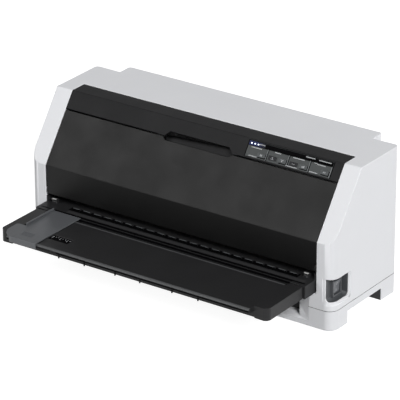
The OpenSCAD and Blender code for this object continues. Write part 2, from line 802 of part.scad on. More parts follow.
module key_panel() color([0.3, 0.31, 0.32])
    difference() {
        on_slope(panel_s0) translate([panel_x0, 0, -panel_t]) cube([panel_w, panel_h, panel_t]);
        for (k = KEY_PLACES) key_hole(k[0], k[1], wall + over);
        lamp_places() translate([0, 0, -4]) cylinder(h = 5, r = lamp_r + 0.05);
        // grooves between the pads and under the lamp strip
        for (i = [1:3])
            on_slope(panel_s0) translate([panel_x0 + i * panel_w / 4 - 0.4, 0, -0.4]) cube([0.8, strip_s, 1]);
        on_slope(panel_s0) translate([panel_x0, strip_s, -0.3]) cube([panel_w, 0.5, 1]);
    }

module status_lamps() color("azure") lamp_places() translate([0, 0, -4]) cylinder(h = 4.2, r = lamp_r);

module key_cap(pad, side) color([0.42, 0.43, 0.44])
    on_slope(key_s) translate([key_x(pad, side), 0, 0]) {
        translate([0, 0, -key_depth]) linear_extrude(key_depth + 0.4)
            plan_rect(-key_w / 2, key_w / 2, -key_h / 2, key_h / 2, key_r, key_r);
        translate([-key_w / 2 - 0.8, -key_h / 2 - 0.8, -wall - fine - 1]) cube([key_w + 1.6, key_h + 1.6, 1]);
    }

module pause_key() key_cap(0, 1);
module load_key() key_cap(1, 0);
module line_feed_key() key_cap(1, 1);
module tear_off_key() key_cap(2, 0);
module font_key() key_cap(2, 1);
module pitch_key() key_cap(3, 1);

// --- Power switch ---
module switch_housing() color([0.45, 0.46, 0.47])
    difference() {
        union() {
            difference() {
                intersection() {
                    block(switch_x - 2, half_w, 0, switch_y + 2, switch_z0 - 2, switch_z1 + 2);
                    translate([0, 0, seam_h]) linear_extrude(case_h) case_plan(wall + 0.1);
                }
                switch_recess(0);
            }
            block(switch_x - over, switch_x + 4.5, shroud_y0, shroud_y1, rocker_z - 12, rocker_z + 11);
        }
        block(switch_x - 3, half_w, shroud_y0 + 1.8, shroud_y1 - 1.8, rocker_z - 10, rocker_z + 11);
        rod_y(shroud_y0 + 0.7, shroud_y1 - 0.7, rocker_x, rocker_z, 1.2 + run_gap);
    }

module power_rocker() color(BLACK) {
    front_slab(shroud_y0 + 2.2, shroud_y1 - 2.2)
        polygon([
            [rocker_x - 1.3, rocker_z - 8.4], [rocker_x + 1.6, rocker_z - 8.6], [rocker_x + 1.9, rocker_z],
            [rocker_x + 4, rocker_z + 8.6], [rocker_x - 1.3, rocker_z + 8.4]
        ]);
    rod_y(shroud_y0 + 0.9, shroud_y1 - 0.9, rocker_x, rocker_z, 1.2);
}

// --- Frames ---
module base_pan() color(STEEL)
    difference() {
        union() {
            block(-pan_half, pan_half, pan_y0, pan_y1, floor_z, floor_z + 1.2);
            block(-pan_half, pan_half, pan_y0, pan_y0 + 1.2, floor_z, floor_z + 7);
            block(-pan_half, pan_half, pan_y1 - 1.2, pan_y1, floor_z, floor_z + 7);
        }
        for (x = [-120, 0, 120]) for (i = [0:7])
            block(x - 28 + 8 * i - 1.5, x - 28 + 8 * i + 1.5, 60, 110, floor_z - over, floor_z + 2);
    }

// Side view of a side frame, with the seats of the bushes, the guide shaft and the tractor rail
module frame_profile()
    difference() {
        polygon([
            [pan_y0, floor_z], [pan_y1, floor_z], [pan_y1, bump_floor + wall + 2], [frame_rear, bump_floor + wall + 2],
            [frame_rear, tyre_z + 17], [shaft_y + 34, shaft_z + 10], [shaft_y + 20, cross_top + 1],
            [shaft_y - 6, cross_top + 1], [shaft_y - 16, cross_top - 16], [60, lip_z + 10], [34, lip_z + 5],
            [pan_y0, lip_z - 20]
        ]);
        for (b = BUSHES) translate([b[0], b[1]]) circle(b[2] + b[3] + seat);
        translate([shaft_y, shaft_z]) circle(guide_shaft_r + seat);
        translate([rail_y, rail_z]) circle(rail_r + seat);
    }

module left_side_frame() color(STEEL) side_slab(-frame_x, -frame_x + frame_t) frame_profile();

module right_side_frame() color(STEEL) {
    side_slab(frame_x - frame_t, frame_x)
        difference() {
            frame_profile();
            translate([pinion_y, pinion_z]) circle(5.5);
        }
    // stub axles of the intermediate gears
    rod_x(frame_x - over, gear_x1 + 1.5, big_y, tyre_z, big_pin_r);
    rod_x(inner_x0 - 1, frame_x - over, idler_y, tyre_z, idler_pin_r);
}

module cross_frames() color(STEEL) {
    // front rail with the lip that the carriage's foot slides on
    block(-pan_half, pan_half, lip_y - 1.5, lip_y, 86, lip_z + 1.5);
    block(-pan_half, pan_half, lip_y - 8.5, lip_y, lip_z, lip_z + 1.5);
    difference() {
        union() {
            block(-pan_half, pan_half, cross_y, cross_y + 1.5, shaft_z + 15, cross_top);
            block(-pan_half, pan_half, cross_y, cross_y + 9, cross_top - 1.5, cross_top);
        }
        rod_y(cross_y - over, cross_y + 3, drive_x, belt_z, 6);
    }
    // axle of the idler pulley
    rod_y(cross_y - 9.5, cross_y + over, idler_x, belt_z, 2.5);
}

module roller_bushes() color(PALE)
    both_sides()
        for (b = BUSHES)
            difference() {
                union() {
                    rod_x(frame_x - frame_t - 1.2, frame_x, b[0], b[1], b[2] + b[3]);
                    rod_x(frame_x - frame_t - 1.2, frame_x - frame_t, b[0], b[1], b[2] + b[3] + 1.5);
                }
                rod_x(frame_x - 6, frame_x + over, b[0], b[1], b[2] + run_gap);
            }

module carriage_shaft() color(STEEL) rod_x(-frame_x - 1, frame_x + 1, shaft_y, shaft_z, guide_shaft_r);

module tractor_rail() color(STEEL) rod_x(-frame_x, frame_x, rail_y, rail_z, rail_r);

// --- Paper path ---
module tyre_windows(y)
    for (x = tyre_x) block(x - tyre_w / 2 - 1.5, x + tyre_w / 2 + 1.5, y - 7, y + 7, bed_z - 5, bed_z + over);

module paper_bed() color(BLACK)
    difference() {
        union() {
            block(-bed_half, bed_half, shelf_rear + fine, bed_rear, bed_z - 2, bed_z);
            both_sides() for (y = [58, 96])
                block(bed_half - over, pan_half, y, y + 10, bed_z - 2, bed_z);
            for (x = [-180:40:180])
                for (span = [[front_feed_y + 9, head_y - 7], [head_y + 7, rear_feed_y - 9]])
                    block(x - 1, x + 1, span[0], span[1], bed_z - over, bed_z + 0.4);
        }
        tyre_windows(front_feed_y);
        tyre_windows(rear_feed_y);
        block(-bed_half - over, bed_half + over, head_y - 4.5, head_y + 4.5, bed_z - 3, bed_z + over);
    }

module platen() color([0.2, 0.2, 0.21]) {
    block(-pan_half, pan_half, head_y - 4.2, head_y + 4.2, bed_z - 6, bed_z);
}

module tyres(y)
    for (x = tyre_x)
        difference() {
            rod_x(x - tyre_w / 2, x + tyre_w / 2, y, tyre_z, tyre_r);
            rod_x(x - tyre_w, x + tyre_w, y, tyre_z, feed_shaft_r + seat);
        }

module front_feed_tyres() color([0.17, 0.17, 0.18]) tyres(front_feed_y);
module rear_feed_tyres() color([0.17, 0.17, 0.18]) tyres(rear_feed_y);

module feed_shaft(y, turn) {
    rod_x(-frame_x - 3, gear_x1 + 1, y, tyre_z, feed_shaft_r);
    gear_x(gear_x0, gear_x1, y, tyre_z, feed_teeth, turn, 0);
}

module front_feed_shaft() color(STEEL) feed_shaft(front_feed_y, front_turn);

module rear_feed_shaft() color(STEEL) {
    feed_shaft(rear_feed_y, rear_turn);
    gear_x(inner_x0, inner_x1, rear_feed_y, tyre_z, inner_teeth, inner_turn, 0);
}

module pinch(y) {
    rod_x(-frame_x - 2, frame_x + 2, y, pinch_z, pinch_shaft_r);
    for (x = tyre_x) rod_x(x - tyre_w / 2, x + tyre_w / 2, y, pinch_z, pinch_r);
}

module front_pinch_roller() color([0.6, 0.61, 0.62]) pinch(front_feed_y);
module rear_pinch_roller() color([0.6, 0.61, 0.62]) pinch(rear_feed_y);

module feed_gear() color(PALE)
    difference() {
        union() {
            gear_x(gear_x0, gear_x1 - 0.5, big_y, tyre_z, big_teeth, big_turn, 0);
            rod_x(gear_x0 - 0.5, gear_x1 + 0.5, big_y, tyre_z, 8);
        }
        rod_x(gear_x0 - 2, gear_x1 + 3, big_y, tyre_z, big_pin_r + run_gap);
        // lightening holes in the web
        for (a = [0:60:300])
            rod_x(gear_x0 - 1, gear_x1 + 1, big_y + 17 * cos(a), tyre_z + 17 * sin(a), 5);
    }

module motor_pinion() color(PALE) {
    gear_x(gear_x0, gear_x1, pinion_y, pinion_z, pinion_teeth, pinion_turn, 0);
    rod_x(frame_x - 14, gear_x1 + 0.5, pinion_y, pinion_z, 2);
}

module feed_motor() color([0.5, 0.5, 0.52])
    difference() {
        union() {
            rod_x(frame_x - frame_t - 26, frame_x - frame_t - 1.5, pinion_y, pinion_z, feed_can_r);
            rod_x(frame_x - frame_t - 3, frame_x - frame_t, pinion_y, pinion_z, 9);
            rod_x(frame_x - frame_t - 28, frame_x - frame_t - 20, pinion_y, pinion_z, feed_can_r - 3);
        }
        rod_x(frame_x - 16, frame_x + over, pinion_y, pinion_z, 2 + run_gap);
    }

// --- Tractor ---
module tractor_idler() color(PALE)
    gear_x(inner_x0, inner_x1, idler_y, tyre_z, idler_teeth, idler_turn, idler_pin_r + run_gap);

module tractor_shaft() color(STEEL) {
    side = tractor_square / 2;
    block(-inner_x0 + 2, inner_x0 - 0.5, tractor_y - side, tractor_y + side, tyre_z - side, tyre_z + side);
    rod_x(-frame_x, frame_x, tractor_y, tyre_z, side);
    gear_x(inner_x0, inner_x1, tractor_y, tyre_z, inner_teeth, tractor_turn, 0);
}

// One tractor unit at x; out is 1 when its outer side, with the flap's hinge, points to +X
module tractor_unit(x, out) color(GREY) {
    hinge_x = x + out * flap_hinge;
    difference() {
        union() {
            block(x - tractor_half, x + tractor_half, tractor_y - 15.5, tractor_y + 10, rail_z - 3.6, tyre_z + 6.8);
            for (y = [tractor_y - 14, tractor_y + 6.5])
                block(min(x + out * 7, hinge_x + out * 2), max(x + out * 7, hinge_x + out * 2),
                      y, y + 3.5, tyre_z - 2, flap_z + 2);
        }
        rod_x(x - 4.6, x + 4.6, tractor_y, tyre_z, pin_tip_r + 0.6);
        block(x - 4.6, x + 4.6, tractor_y - pin_tip_r - 0.6, tractor_y + pin_tip_r + 0.6, tyre_z, tyre_z + 12);
        rod_x(x - 15, x + 15, tractor_y, tyre_z, hub_r + run_gap);
        rod_x(x - 15, x + 15, rail_y, rail_z, rail_r + run_gap);
    }
    rod_y(tractor_y - 14, tractor_y + 10, hinge_x, flap_z, 1.2);
}

module left_tractor() tractor_unit(-tractor_home, -1);
module right_tractor() tractor_unit(tractor_home, 1);

module sprocket(x) color(PALE)
    difference() {
        union() {
            rod_x(x - tractor_half + 0.1, x + tractor_half - 0.1, tractor_y, tyre_z, hub_r);
            rod_x(x - 4, x + 4, tractor_y, tyre_z, sprocket_r);
            for (i = [0:4])
                translate([x, tractor_y, tyre_z]) rotate([72 * i, 0, 0])
                    translate([0, 0, hub_r]) cylinder(h = pin_tip_r - hub_r, r = 1.1);
        }
        block(x - 12, x + 12, tractor_y - tractor_square / 2 - 0.1, tractor_y + tractor_square / 2 + 0.1,
              tyre_z - tractor_square / 2 - 0.1, tyre_z + tractor_square / 2 + 0.1);
    }

module left_sprocket() sprocket(-tractor_home);
module right_sprocket() sprocket(tractor_home);

module flap(x, out) color([0.3, 0.31, 0.33]) {
    hinge_x = x + out * flap_hinge;
    difference() {
        union() {
            block(min(x - out * 8.5, hinge_x), max(x - out * 8.5, hinge_x),
                  tractor_y - 10, tractor_y + 6, flap_z + 0.8, flap_z + 2.3);
            rod_y(tractor_y - 10, tractor_y + 6, hinge_x, flap_z, 2.6);
        }
        rod_y(tractor_y - 15, tractor_y + 11, hinge_x, flap_z, 1.2 + run_gap);
        block(x - 2, x + 2, tractor_y - 7, tractor_y + 7, flap_z - 3, flap_z + 4);
    }
}

module left_flap() flap(-tractor_home, -1);
module right_flap() flap(tractor_home, 1);

// --- Carriage ---
module carriage() color(BLACK)
    difference() {
        union() {
            block(-carriage_half, carriage_half, head_y - 22, shaft_y - 8, 88, 94);
            block(-carriage_half, carriage_half, shaft_y - 10, shaft_y + 10, shaft_z - 10, shaft_z + 10);
            both_sides()
                side_slab(carriage_half - 2.5, carriage_half)
                    polygon([
                        [head_y - 22, 88], [shaft_y - 8, 88], [shaft_y + 10, shaft_z - 10],
                        [shaft_y + 10, shaft_z + 10], [shaft_y + 3, shaft_z + 13], [shaft_y - 8, foot_z + 3],
                        [lip_y - 7.5, foot_z + 3], [lip_y - 7.5, foot_z], [head_y - 22, foot_z]
                    ]);
            block(-carriage_half, carriage_half, lip_y - 7.5, lip_y - 0.5, foot_z, foot_z + 3);
            // web and jaw that hold the belt
            block(-8, 8, belt_y - 6, belt_y - 3.5, shaft_z + 8, belt_z - pulley_r + 3);
            block(-8, 8, belt_y - 6, belt_y + 4, belt_z - pulley_r - 4, belt_z - pulley_r + 3);
        }
        rod_x(-30, 30, shaft_y, shaft_z, guide_shaft_r + run_gap);
        rod_z(80, 100, 0, head_y, head_neck_r + fine);
        block(-9, 9, belt_y - belt_w / 2 - fine, belt_y + belt_w / 2 + fine,
              belt_z - pulley_r - belt_t - fine, belt_z - pulley_r + fine);
    }

module print_head() color([0.25, 0.25, 0.27]) {
    rod_z(84, 95, 0, head_y, head_neck_r);
    rod_z(94, 97, 0, head_y, head_r);
    rod_z(96, 122, 0, head_y, head_r - 4);
    for (i = [0:5]) rod_z(99 + 4 * i, 100.8 + 4 * i, 0, head_y, fin_r);
    rod_z(121, 124, 0, head_y, 12);
    block(-9, 9, head_y + 3, head_y + 9, 123, 126);
    block(-9, 9, head_y - 11, head_y + 11, 78, 85);
    block(-5, 5, head_y - 8.5, head_y + 8.5, nose_z, 79);
}

module ribbon_mask() color(STEEL)
    difference() {
        union() {
            block(-20, 20, head_y - 13, head_y + 13, mask_z, mask_z + 0.4);
            both_sides() {
                block(14, 20, head_y - 13, head_y - 12.4, mask_z, 88);
                block(14, 20, head_y + 12.4, head_y + 13, mask_z, 88);
            }
        }
        block(-2.5, 2.5, head_y - 7, head_y + 7, mask_z - over, mask_z + 2);
    }

module belt_loop(r)
    union() {
        translate([idler_x, belt_z]) circle(r);
        translate([drive_x, belt_z]) circle(r);
        translate([idler_x, belt_z - r]) square([drive_x - idler_x, 2 * r]);
    }

module timing_belt() color([0.16, 0.16, 0.17])
    front_slab(belt_y - belt_w / 2, belt_y + belt_w / 2)
        difference() {
            belt_loop(pulley_r + belt_t);
            belt_loop(pulley_r);
        }

module pulley(x) {
    rod_y(belt_y - belt_w / 2 - fine, belt_y + belt_w / 2 + fine, x, belt_z, pulley_r - fine);
    rod_y(belt_y - belt_w / 2 - 1.3, belt_y - belt_w / 2 - fine, x, belt_z, pulley_r + 1.8);
    rod_y(belt_y + belt_w / 2 + fine, belt_y + belt_w / 2 + 1.2, x, belt_z, pulley_r + 1.8);
}

module drive_pulley() color(STEEL) {
    pulley(drive_x);
    rod_y(belt_y, cross_y + 18, drive_x, belt_z, 2.5);
}

module idler_pulley() color(PALE)
    difference() {
        pulley(idler_x);
        rod_y(belt_y - 10, belt_y + 10, idler_x, belt_z, 2.5 + run_gap);
    }

module carriage_motor() color([0.5, 0.5, 0.52])
    difference() {
        union() {
            rod_y(cross_y + 1.5, cross_y + 27, drive_x, belt_z, carriage_can_r);
            rod_y(cross_y + 0.3, cross_y + 2, drive_x, belt_z, 5.8);
            rod_y(cross_y + 22, cross_y + 30, drive_x, belt_z, carriage_can_r - 5);
        }
        rod_y(cross_y - over, cross_y + 20, drive_x, belt_z, 2.5 + run_gap);
    }

// --- Ribbon ---
module ribbon_cartridge() color([0.2, 0.2, 0.22]) {
    difference() {
        union() {
            difference() {
                block(-cartridge_half, cartridge_half, cartridge_y0, cartridge_y1, 92, 124);
                for (x = [-150:30:150]) block(x - 11, x + 11, cartridge_y0 - over, cartridge_y0 + 1, 96, 120);
            }
            both_sides()
                side_slab(arm_x, cartridge_half)
                    polygon([
                        [cartridge_y0, 92], [cartridge_y0, 124], [cartridge_y1, 124], [head_y + 9, 102],
                        [head_y + 9, bed_z + 1.6], [head_y - 9, bed_z + 1.6], [head_y - 9, 84], [cartridge_y1, 92]
                    ]);
            both_sides() block(cartridge_half - over, pan_half, cartridge_y0 + 2, cartridge_y1 - 2, 100, 108);
        }
        both_sides()
            block(arm_x - over, cartridge_half - 3, head_y - 7, head_y + 7, ribbon_z - 0.5, ribbon_z + 0.9);
        rod_z(knob_z - 12, knob_z + 5, -knob_x, knob_y, 2 + run_gap);
    }
    // the inked band between the arms
    block(-arm_x - 4, arm_x + 4, head_y - 6.5, head_y + 6.5, ribbon_z, ribbon_z + 0.3);
}

module ribbon_knob() color([0.25, 0.25, 0.27]) {
    translate([-knob_x, knob_y, knob_z + fine])
        linear_extrude(7)
            difference() {
                circle(5.5);
                for (a = [0:30:330]) rotate(a) translate([5.9, 0]) circle(0.9);
            }
    rod_z(knob_z - 11, knob_z + 1, -knob_x, knob_y, 2);
}

// --- Electrical ---
module board(x0, x1, y0, y1) {
    block(x0, x1, y0, y1, board_z, port_z0);
    for (x = [x0 + 6, x1 - 6]) for (y = [y0 + 6, y1 - 6]) rod_z(floor_z + 1.2, board_z, x, y, 2.5);
}

module logic_board() color("darkgreen") {
    board(-188, -12, 60, 142);
    for (c = [[-160, 90, 26, 26, 3], [-120, 88, 20, 20, 2.5], [-90, 96, 12, 26, 2.5], [-60, 84, 18, 12, 2.5],
              [-170, 66, 40, 6, 8], [-110, 66, 60, 6, 8], [-40, 66, 20, 6, 8]])
        translate([c[0], c[1], port_z0 - 0.2]) cube([c[2], c[3], c[4] + 0.2]);
    for (x = [-30, -22]) rod_z(port_z0 - 0.2, port_z0 + 11, x, 110, 3.4);
    // board behind the keys
    on_slope(key_s, -board_depth - 1.6)
        translate([panel_x0 - 6, -6, 0]) cube([panel_w + 12, 12, 1.6]);
}

module power_board() color("olive") {
    board(16, 166, 60, 142);
    translate([30, 72, port_z0 - 0.2]) cube([42, 36, 17]);
    for (x = [90, 114]) rod_z(port_z0 - 0.2, port_z0 + 17, x, 92, 9.5);
    translate([134, 70, port_z0 - 0.2]) cube([3, 50, 14]);
    for (y = [76, 90, 104]) translate([137, y, port_z0 - 0.2]) cube([4.5, 10, 13]);
}

module data_ports() color([0.7, 0.7, 0.72]) {
    difference() {
        block(parallel_x - parallel_half, parallel_x + parallel_half, case_d - 14, case_d + 0.8, port_z0, port_z1);
        block(parallel_x - 27, parallel_x + 27, case_d - 6, case_d + 2, port_z0 + 2, port_z1 - 2);
    }
    block(parallel_x - 24, parallel_x + 24, case_d - 8, case_d - 0.5, port_z0 + 4.7, port_z1 - 4.7);
    difference() {
        block(usb_x - usb_half, usb_x + usb_half, case_d - 16, case_d + 0.5, port_z0, port_z1);
        block(usb_x - 4.4, usb_x + 4.4, case_d - 10, case_d + 2, port_z0 + 2, port_z1 - 2.4);
    }
    block(usb_x - 2.8, usb_x + 2.8, case_d - 11, case_d - 1, port_z0 + 4.6, port_z1 - 5);
}

module mains_inlet() color(BLACK) {
    difference() {
        union() {
            block(inlet_x - inlet_half, inlet_x + inlet_half, case_d, case_d + 1.5, inlet_z0, inlet_z1);
            block(inlet_x - inlet_half + 1.4, inlet_x + inlet_half - 1.4, case_d - 20, case_d + over,
                  inlet_z0 + 1.4, inlet_z1 - 1.4);
        }
        front_slab(case_d - 17, case_d + 3)
            polygon([
                [inlet_x - 11, inlet_z0 + 3], [inlet_x + 11, inlet_z0 + 3], [inlet_x + 11, inlet_z1 - 7],
                [inlet_x + 7, inlet_z1 - 3], [inlet_x - 7, inlet_z1 - 3], [inlet_x - 11, inlet_z1 - 7]
            ]);
    }
    for (p = [[-6, -1.5], [6, -1.5], [0, 2]])
        translate([inlet_x + p[0] - 1, case_d - 18, (inlet_z0 + inlet_z1) / 2 + p[1] - 2]) cube([2, 15, 4]);
}

module rear_cover() color(WHITE) {
    difference() {
        block(-rear_open_half + fine, rear_open_half - fine, rear_y - wall, rear_y, rear_cover_low, flap_axis_z + 1.2);
        for (i = [0:3])
            block(-150, 150, rear_y - 0.8, rear_y + over, rear_cover_low + 5 + 6 * i, rear_cover_low + 7 + 6 * i);
    }
    both_sides() {
        block(rear_open_half - fine - 8, rear_open_half - fine, rear_y - 4.2, rear_y - wall + 0.5,
              flap_axis_z - 2, flap_axis_z + 1.2);
        rod_x(rear_open_half - fine - 4, rear_open_half + 3.5, flap_axis_y, flap_axis_z, flap_pin_r);
    }
}

module place() translate([0, face_y, 0]) children();

place() lower_case();
place() upper_case();
place() control_bezel();
place() key_panel();
place() status_lamps();
place() front_frame();
place() hinge_clips();
place() paper_tray();
place() base_pan();
place() left_side_frame();
place() right_side_frame();
place() cross_frames();
place() paper_bed();
place() platen();
place() carriage_shaft();
place() roller_bushes();
place() carriage_motor();
place() feed_motor();
place() timing_belt();
place() ribbon_cartridge();
place() logic_board();
place() power_board();
place() mains_inlet();
place() data_ports();
place() switch_housing();
place() rubber_feet();
place() case_screws();
place() tractor_rail();
place() front_cover();
place() edge_guide();
place() pause_key();
place() load_key();
place() line_feed_key();
place() tear_off_key();
place() font_key();
place() pitch_key();
place() power_rocker();
place() carriage();
place() print_head();
place() ribbon_mask();
place() drive_pulley();
place() idler_pulley();
place() front_feed_shaft();
place() front_feed_tyres();
place() front_pinch_roller();
place() rear_feed_shaft();
place() rear_feed_tyres();
place() rear_pinch_roller();
place() feed_gear();
place() motor_pinion();
place() tractor_idler();
place() tractor_shaft();
place() left_tractor();
place() right_tractor();
place() left_sprocket();
place() right_sprocket();
place() left_flap();
place() right_flap();
place() rear_cover();
place() ribbon_knob();
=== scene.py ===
"""Finishes, rounded mouldings and fine detail for a wide flatbed dot matrix printer.

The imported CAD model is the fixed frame, in metres: X to the right, Y to the back, Z up. Places and
sizes here are in millimetres from the middle of the case's front face at floor level, along the same
axes, and CASE turns them into the frame's metres. Where a value is in metres, it is written with MM.
"""

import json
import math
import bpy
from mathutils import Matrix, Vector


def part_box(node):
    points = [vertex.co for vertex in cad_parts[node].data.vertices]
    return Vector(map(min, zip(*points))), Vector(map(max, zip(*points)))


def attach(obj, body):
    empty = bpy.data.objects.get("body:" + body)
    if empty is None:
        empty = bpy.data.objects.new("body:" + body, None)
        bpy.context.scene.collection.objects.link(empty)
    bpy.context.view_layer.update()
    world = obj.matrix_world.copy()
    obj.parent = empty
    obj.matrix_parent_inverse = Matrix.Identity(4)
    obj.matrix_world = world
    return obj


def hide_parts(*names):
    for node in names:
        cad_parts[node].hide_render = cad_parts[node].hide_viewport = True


bl_info = {
    "name": "Dot matrix printer finishes",
    "version": (1, 0, 0),
    "blender": (4, 5, 0),
    "location": "3D View > Sidebar > Printer",
    "description": "Rounded mouldings, fine detail and procedural finishes for a dot matrix printer",
    "category": "Object",
}

import bmesh
import bpy
from bpy.props import FloatProperty, PointerProperty, StringProperty
from mathutils import Matrix, Vector

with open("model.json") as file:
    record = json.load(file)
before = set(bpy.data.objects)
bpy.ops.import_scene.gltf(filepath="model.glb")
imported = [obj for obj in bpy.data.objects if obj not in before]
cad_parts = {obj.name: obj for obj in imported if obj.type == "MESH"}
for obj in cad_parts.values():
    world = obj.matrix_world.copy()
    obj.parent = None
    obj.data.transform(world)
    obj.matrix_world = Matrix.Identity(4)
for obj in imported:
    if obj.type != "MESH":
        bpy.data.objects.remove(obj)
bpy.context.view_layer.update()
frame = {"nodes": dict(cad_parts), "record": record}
NODES = frame["nodes"]
RECORD = frame["record"]
BODY = {node: body for body, nodes in RECORD["behaviour"]["bodies"].items() for node in nodes}

MM = 0.001                       # metres in a millimetre
CASE = Matrix.Translation((0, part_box("upper_case")[0].y, 0)) @ Matrix.Scale(MM, 4)
BEND_Z = 120                     # where the upright front turns into the slope
SLOPE = math.atan2(86, 62)       # angle of the slope above the ground
SEAM_Z = 28.5                    # seam between the lower and the upper case

# How round shapes are drawn
SMOOTH_BELOW = math.radians(35)  # faces that meet at less than this are one curve
SHARP_ABOVE = math.radians(30)   # edges of more than this are rounded
SHORTEST_EDGE = 2.2              # in radii: shorter edges stay as they are
ROUND_STEPS = 2                  # faces across a rounded edge
SAME_POINT = 0.5e-6              # metres: corners nearer than this are one
FLAT_BELOW = math.radians(0.3)   # faces that meet at less than this are one


# --- Small tools -------------------------------------------------------------------------------

def linear(hex_colour):
    """A colour written as sRGB hex, such as "d8dade", as the linear RGBA that Blender wants."""
    parts = [int(hex_colour[i:i + 2], 16) / 255 for i in (0, 2, 4)]
    return [c / 12.92 if c <= 0.04045 else ((c + 0.055) / 1.055) ** 2.4 for c in parts] + [1.0]


def add(tree, kind, inputs=(), **settings):
    """Adds one node: settings are its own options, inputs are values or sockets to link."""
    made = tree.nodes.new(kind)
    for key, value in settings.items():
        setattr(made, key, value)
    for key, value in dict(inputs).items():
        if isinstance(value, bpy.types.NodeSocket):
            tree.links.new(value, made.inputs[key])
        else:
            made.inputs[key].default_value = value
    return made


def in_scene(name, data):
    """A new object in the scene."""
    made = bpy.data.objects.new(name, data)
    bpy.context.scene.collection.objects.link(made)
    return made


def empty_tree(owner):
    """The emptied node tree of a material or a world."""
    owner.use_nodes = True
    owner.node_tree.nodes.clear()
    return owner.node_tree


def piece_from(bm, name, material, node, replaces=False, inlays=()):
    """Turns a bmesh into a finished piece that rides on a CAD node's body.

    inlays are further materials for the faces whose material index is 1, 2 and so on.
    """
    mesh = bpy.data.meshes.new(name)
    for face in bm.faces:
        face.smooth = True
    bm.to_mesh(mesh)
    bm.free()
    mesh.set_sharp_from_angle(angle=SMOOTH_BELOW)
    for used in (material, *inlays):
        mesh.materials.append(used)
    piece = in_scene(name, mesh)
    piece.modifiers.new("flat faces stay flat", "WEIGHTED_NORMAL").keep_sharp = True
    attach(piece, BODY[node])
    if replaces:
        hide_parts(node)
    return piece


def merged_copy(node):
    """A bmesh of a CAD node with its triangles joined into flat faces."""
    bm = bmesh.new()
    bm.from_mesh(NODES[node].data)
    bmesh.ops.remove_doubles(bm, verts=bm.verts, dist=SAME_POINT)
    bmesh.ops.dissolve_limit(bm, angle_limit=FLAT_BELOW, verts=bm.verts, edges=bm.edges,
                             use_dissolve_boundaries=False, delimit=set())
    return bm


def bevel_edges(bm, edges, offset, clamp):
    """Rounds edges; offset is in metres, and clamp keeps neighbours from running into each other."""
    bmesh.ops.bevel(bm, geom=edges, affect="EDGES", offset=offset, offset_type="OFFSET",
                    segments=ROUND_STEPS, profile=0.5, material=-1, clamp_overlap=clamp)


def round_edges(bm, radius, pick=None):
    """Rounds the sharp outer edges that pick(middle) accepts and that are long enough for it."""
    edges = [
        e for e in bm.edges
        if len(e.link_faces) == 2
        and e.calc_length() > SHORTEST_EDGE * radius
        and e.calc_face_angle_signed(0) > SHARP_ABOVE
        and (pick is None or pick(in_case((e.verts[0].co + e.verts[1].co) / 2)))
    ]
    bevel_edges(bm, edges, radius, clamp=False)


def moulding(node, material, radius=0.0, pick=None, inlays=(), inlaid=None):
    """Replaces a CAD node by its own shape with rounded edges and smooth round faces.

    radius is in metres. pick chooses the edges to round by their place. inlaid gives each face, by
    its place and normal, 0 for the material or the number of one of the inlays.
    """
    bm = merged_copy(node)
    if radius:
        round_edges(bm, radius, pick)
    if inlays:
        bm.normal_update()
        for face in bm.faces:
            face.material_index = int(inlaid(in_case(face.calc_center_median()), face.normal))
    return piece_from(bm, node + "_shape", material, node, replaces=True, inlays=inlays)


def block(bm, low, high, bevel=0.0, at=CASE):
    """Adds a block between two corners, with rounded edges, placed by a matrix."""
    low, high = Vector(low), Vector(high)
    grown = at @ Matrix.Translation((low + high) / 2) @ Matrix.Diagonal((*(high - low), 1))
    made = bmesh.ops.create_cube(bm, size=1, matrix=grown)["verts"]
    if bevel:
        bevel_edges(bm, list({e for v in made for e in v.link_edges}), bevel * MM, clamp=True)


def rod(bm, start, end, radius, sides=24, bevel=0.0, at=CASE):
    """Adds a round bar from start to end, with rounded rims, placed by a matrix."""
    start, end = Vector(start), Vector(end)
    axis = end - start
    turn = axis.to_track_quat("Z", "Y").to_matrix().to_4x4()
    turned = at @ Matrix.Translation((start + end) / 2) @ turn
    made = bmesh.ops.create_cone(bm, cap_ends=True, segments=sides, radius1=radius, radius2=radius,
                                 depth=axis.length, matrix=turned)["verts"]
    if bevel:
        rims = {e for v in made for e in v.link_edges if any(len(f.verts) > 4 for f in e.link_faces)}
        bevel_edges(bm, list(rims), bevel * MM, clamp=True)


def blocks(name, material, node, corners, bevel=0.0, at=CASE):
    """One piece made of blocks, each (x0, y0, z0, x1, y1, z1) for two opposite corners."""
    bm = bmesh.new()
    for c in corners:
        block(bm, c[:3], c[3:], bevel, at)
    return piece_from(bm, name, material, node)


def rods(name, material, node, places, radius, sides=24, bevel=0.0, at=CASE):
    """One piece made of round bars, each (x0, y0, z0, x1, y1, z1) for the ends of its axis."""
    bm = bmesh.new()
    for p in places:
        rod(bm, p[:3], p[3:], radius, sides, bevel, at)
    return piece_from(bm, name, material, node)


def in_case(point):
    """A point of the frame, as millimetres in the case."""
    return CASE.inverted() @ point


def case_box(node):
    """The lowest and the highest corner of a CAD node, as millimetres in the case."""
    return [in_case(corner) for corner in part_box(node)]


def up_slope(p):
    """How far up the slope a point of the case lies."""
    return p.y * math.cos(SLOPE) + (p.z - BEND_Z) * math.sin(SLOPE)


def on_slope(s=0.0, x=0.0):
    """The matrix of the slope: X stays, Y runs up the slope from the bend, Z stands out of it."""
    bend = Matrix.Translation((x, 0, BEND_Z)) @ Matrix.Rotation(SLOPE, 4, "X")
    return CASE @ bend @ Matrix.Translation((0, s, 0))


# --- Sizes and colours that a user would change --------------------------------------------------

def colour(name, description, default):
    """A setting that holds a colour."""
    return StringProperty(name=name, description=description + ", as sRGB hex", default=default)


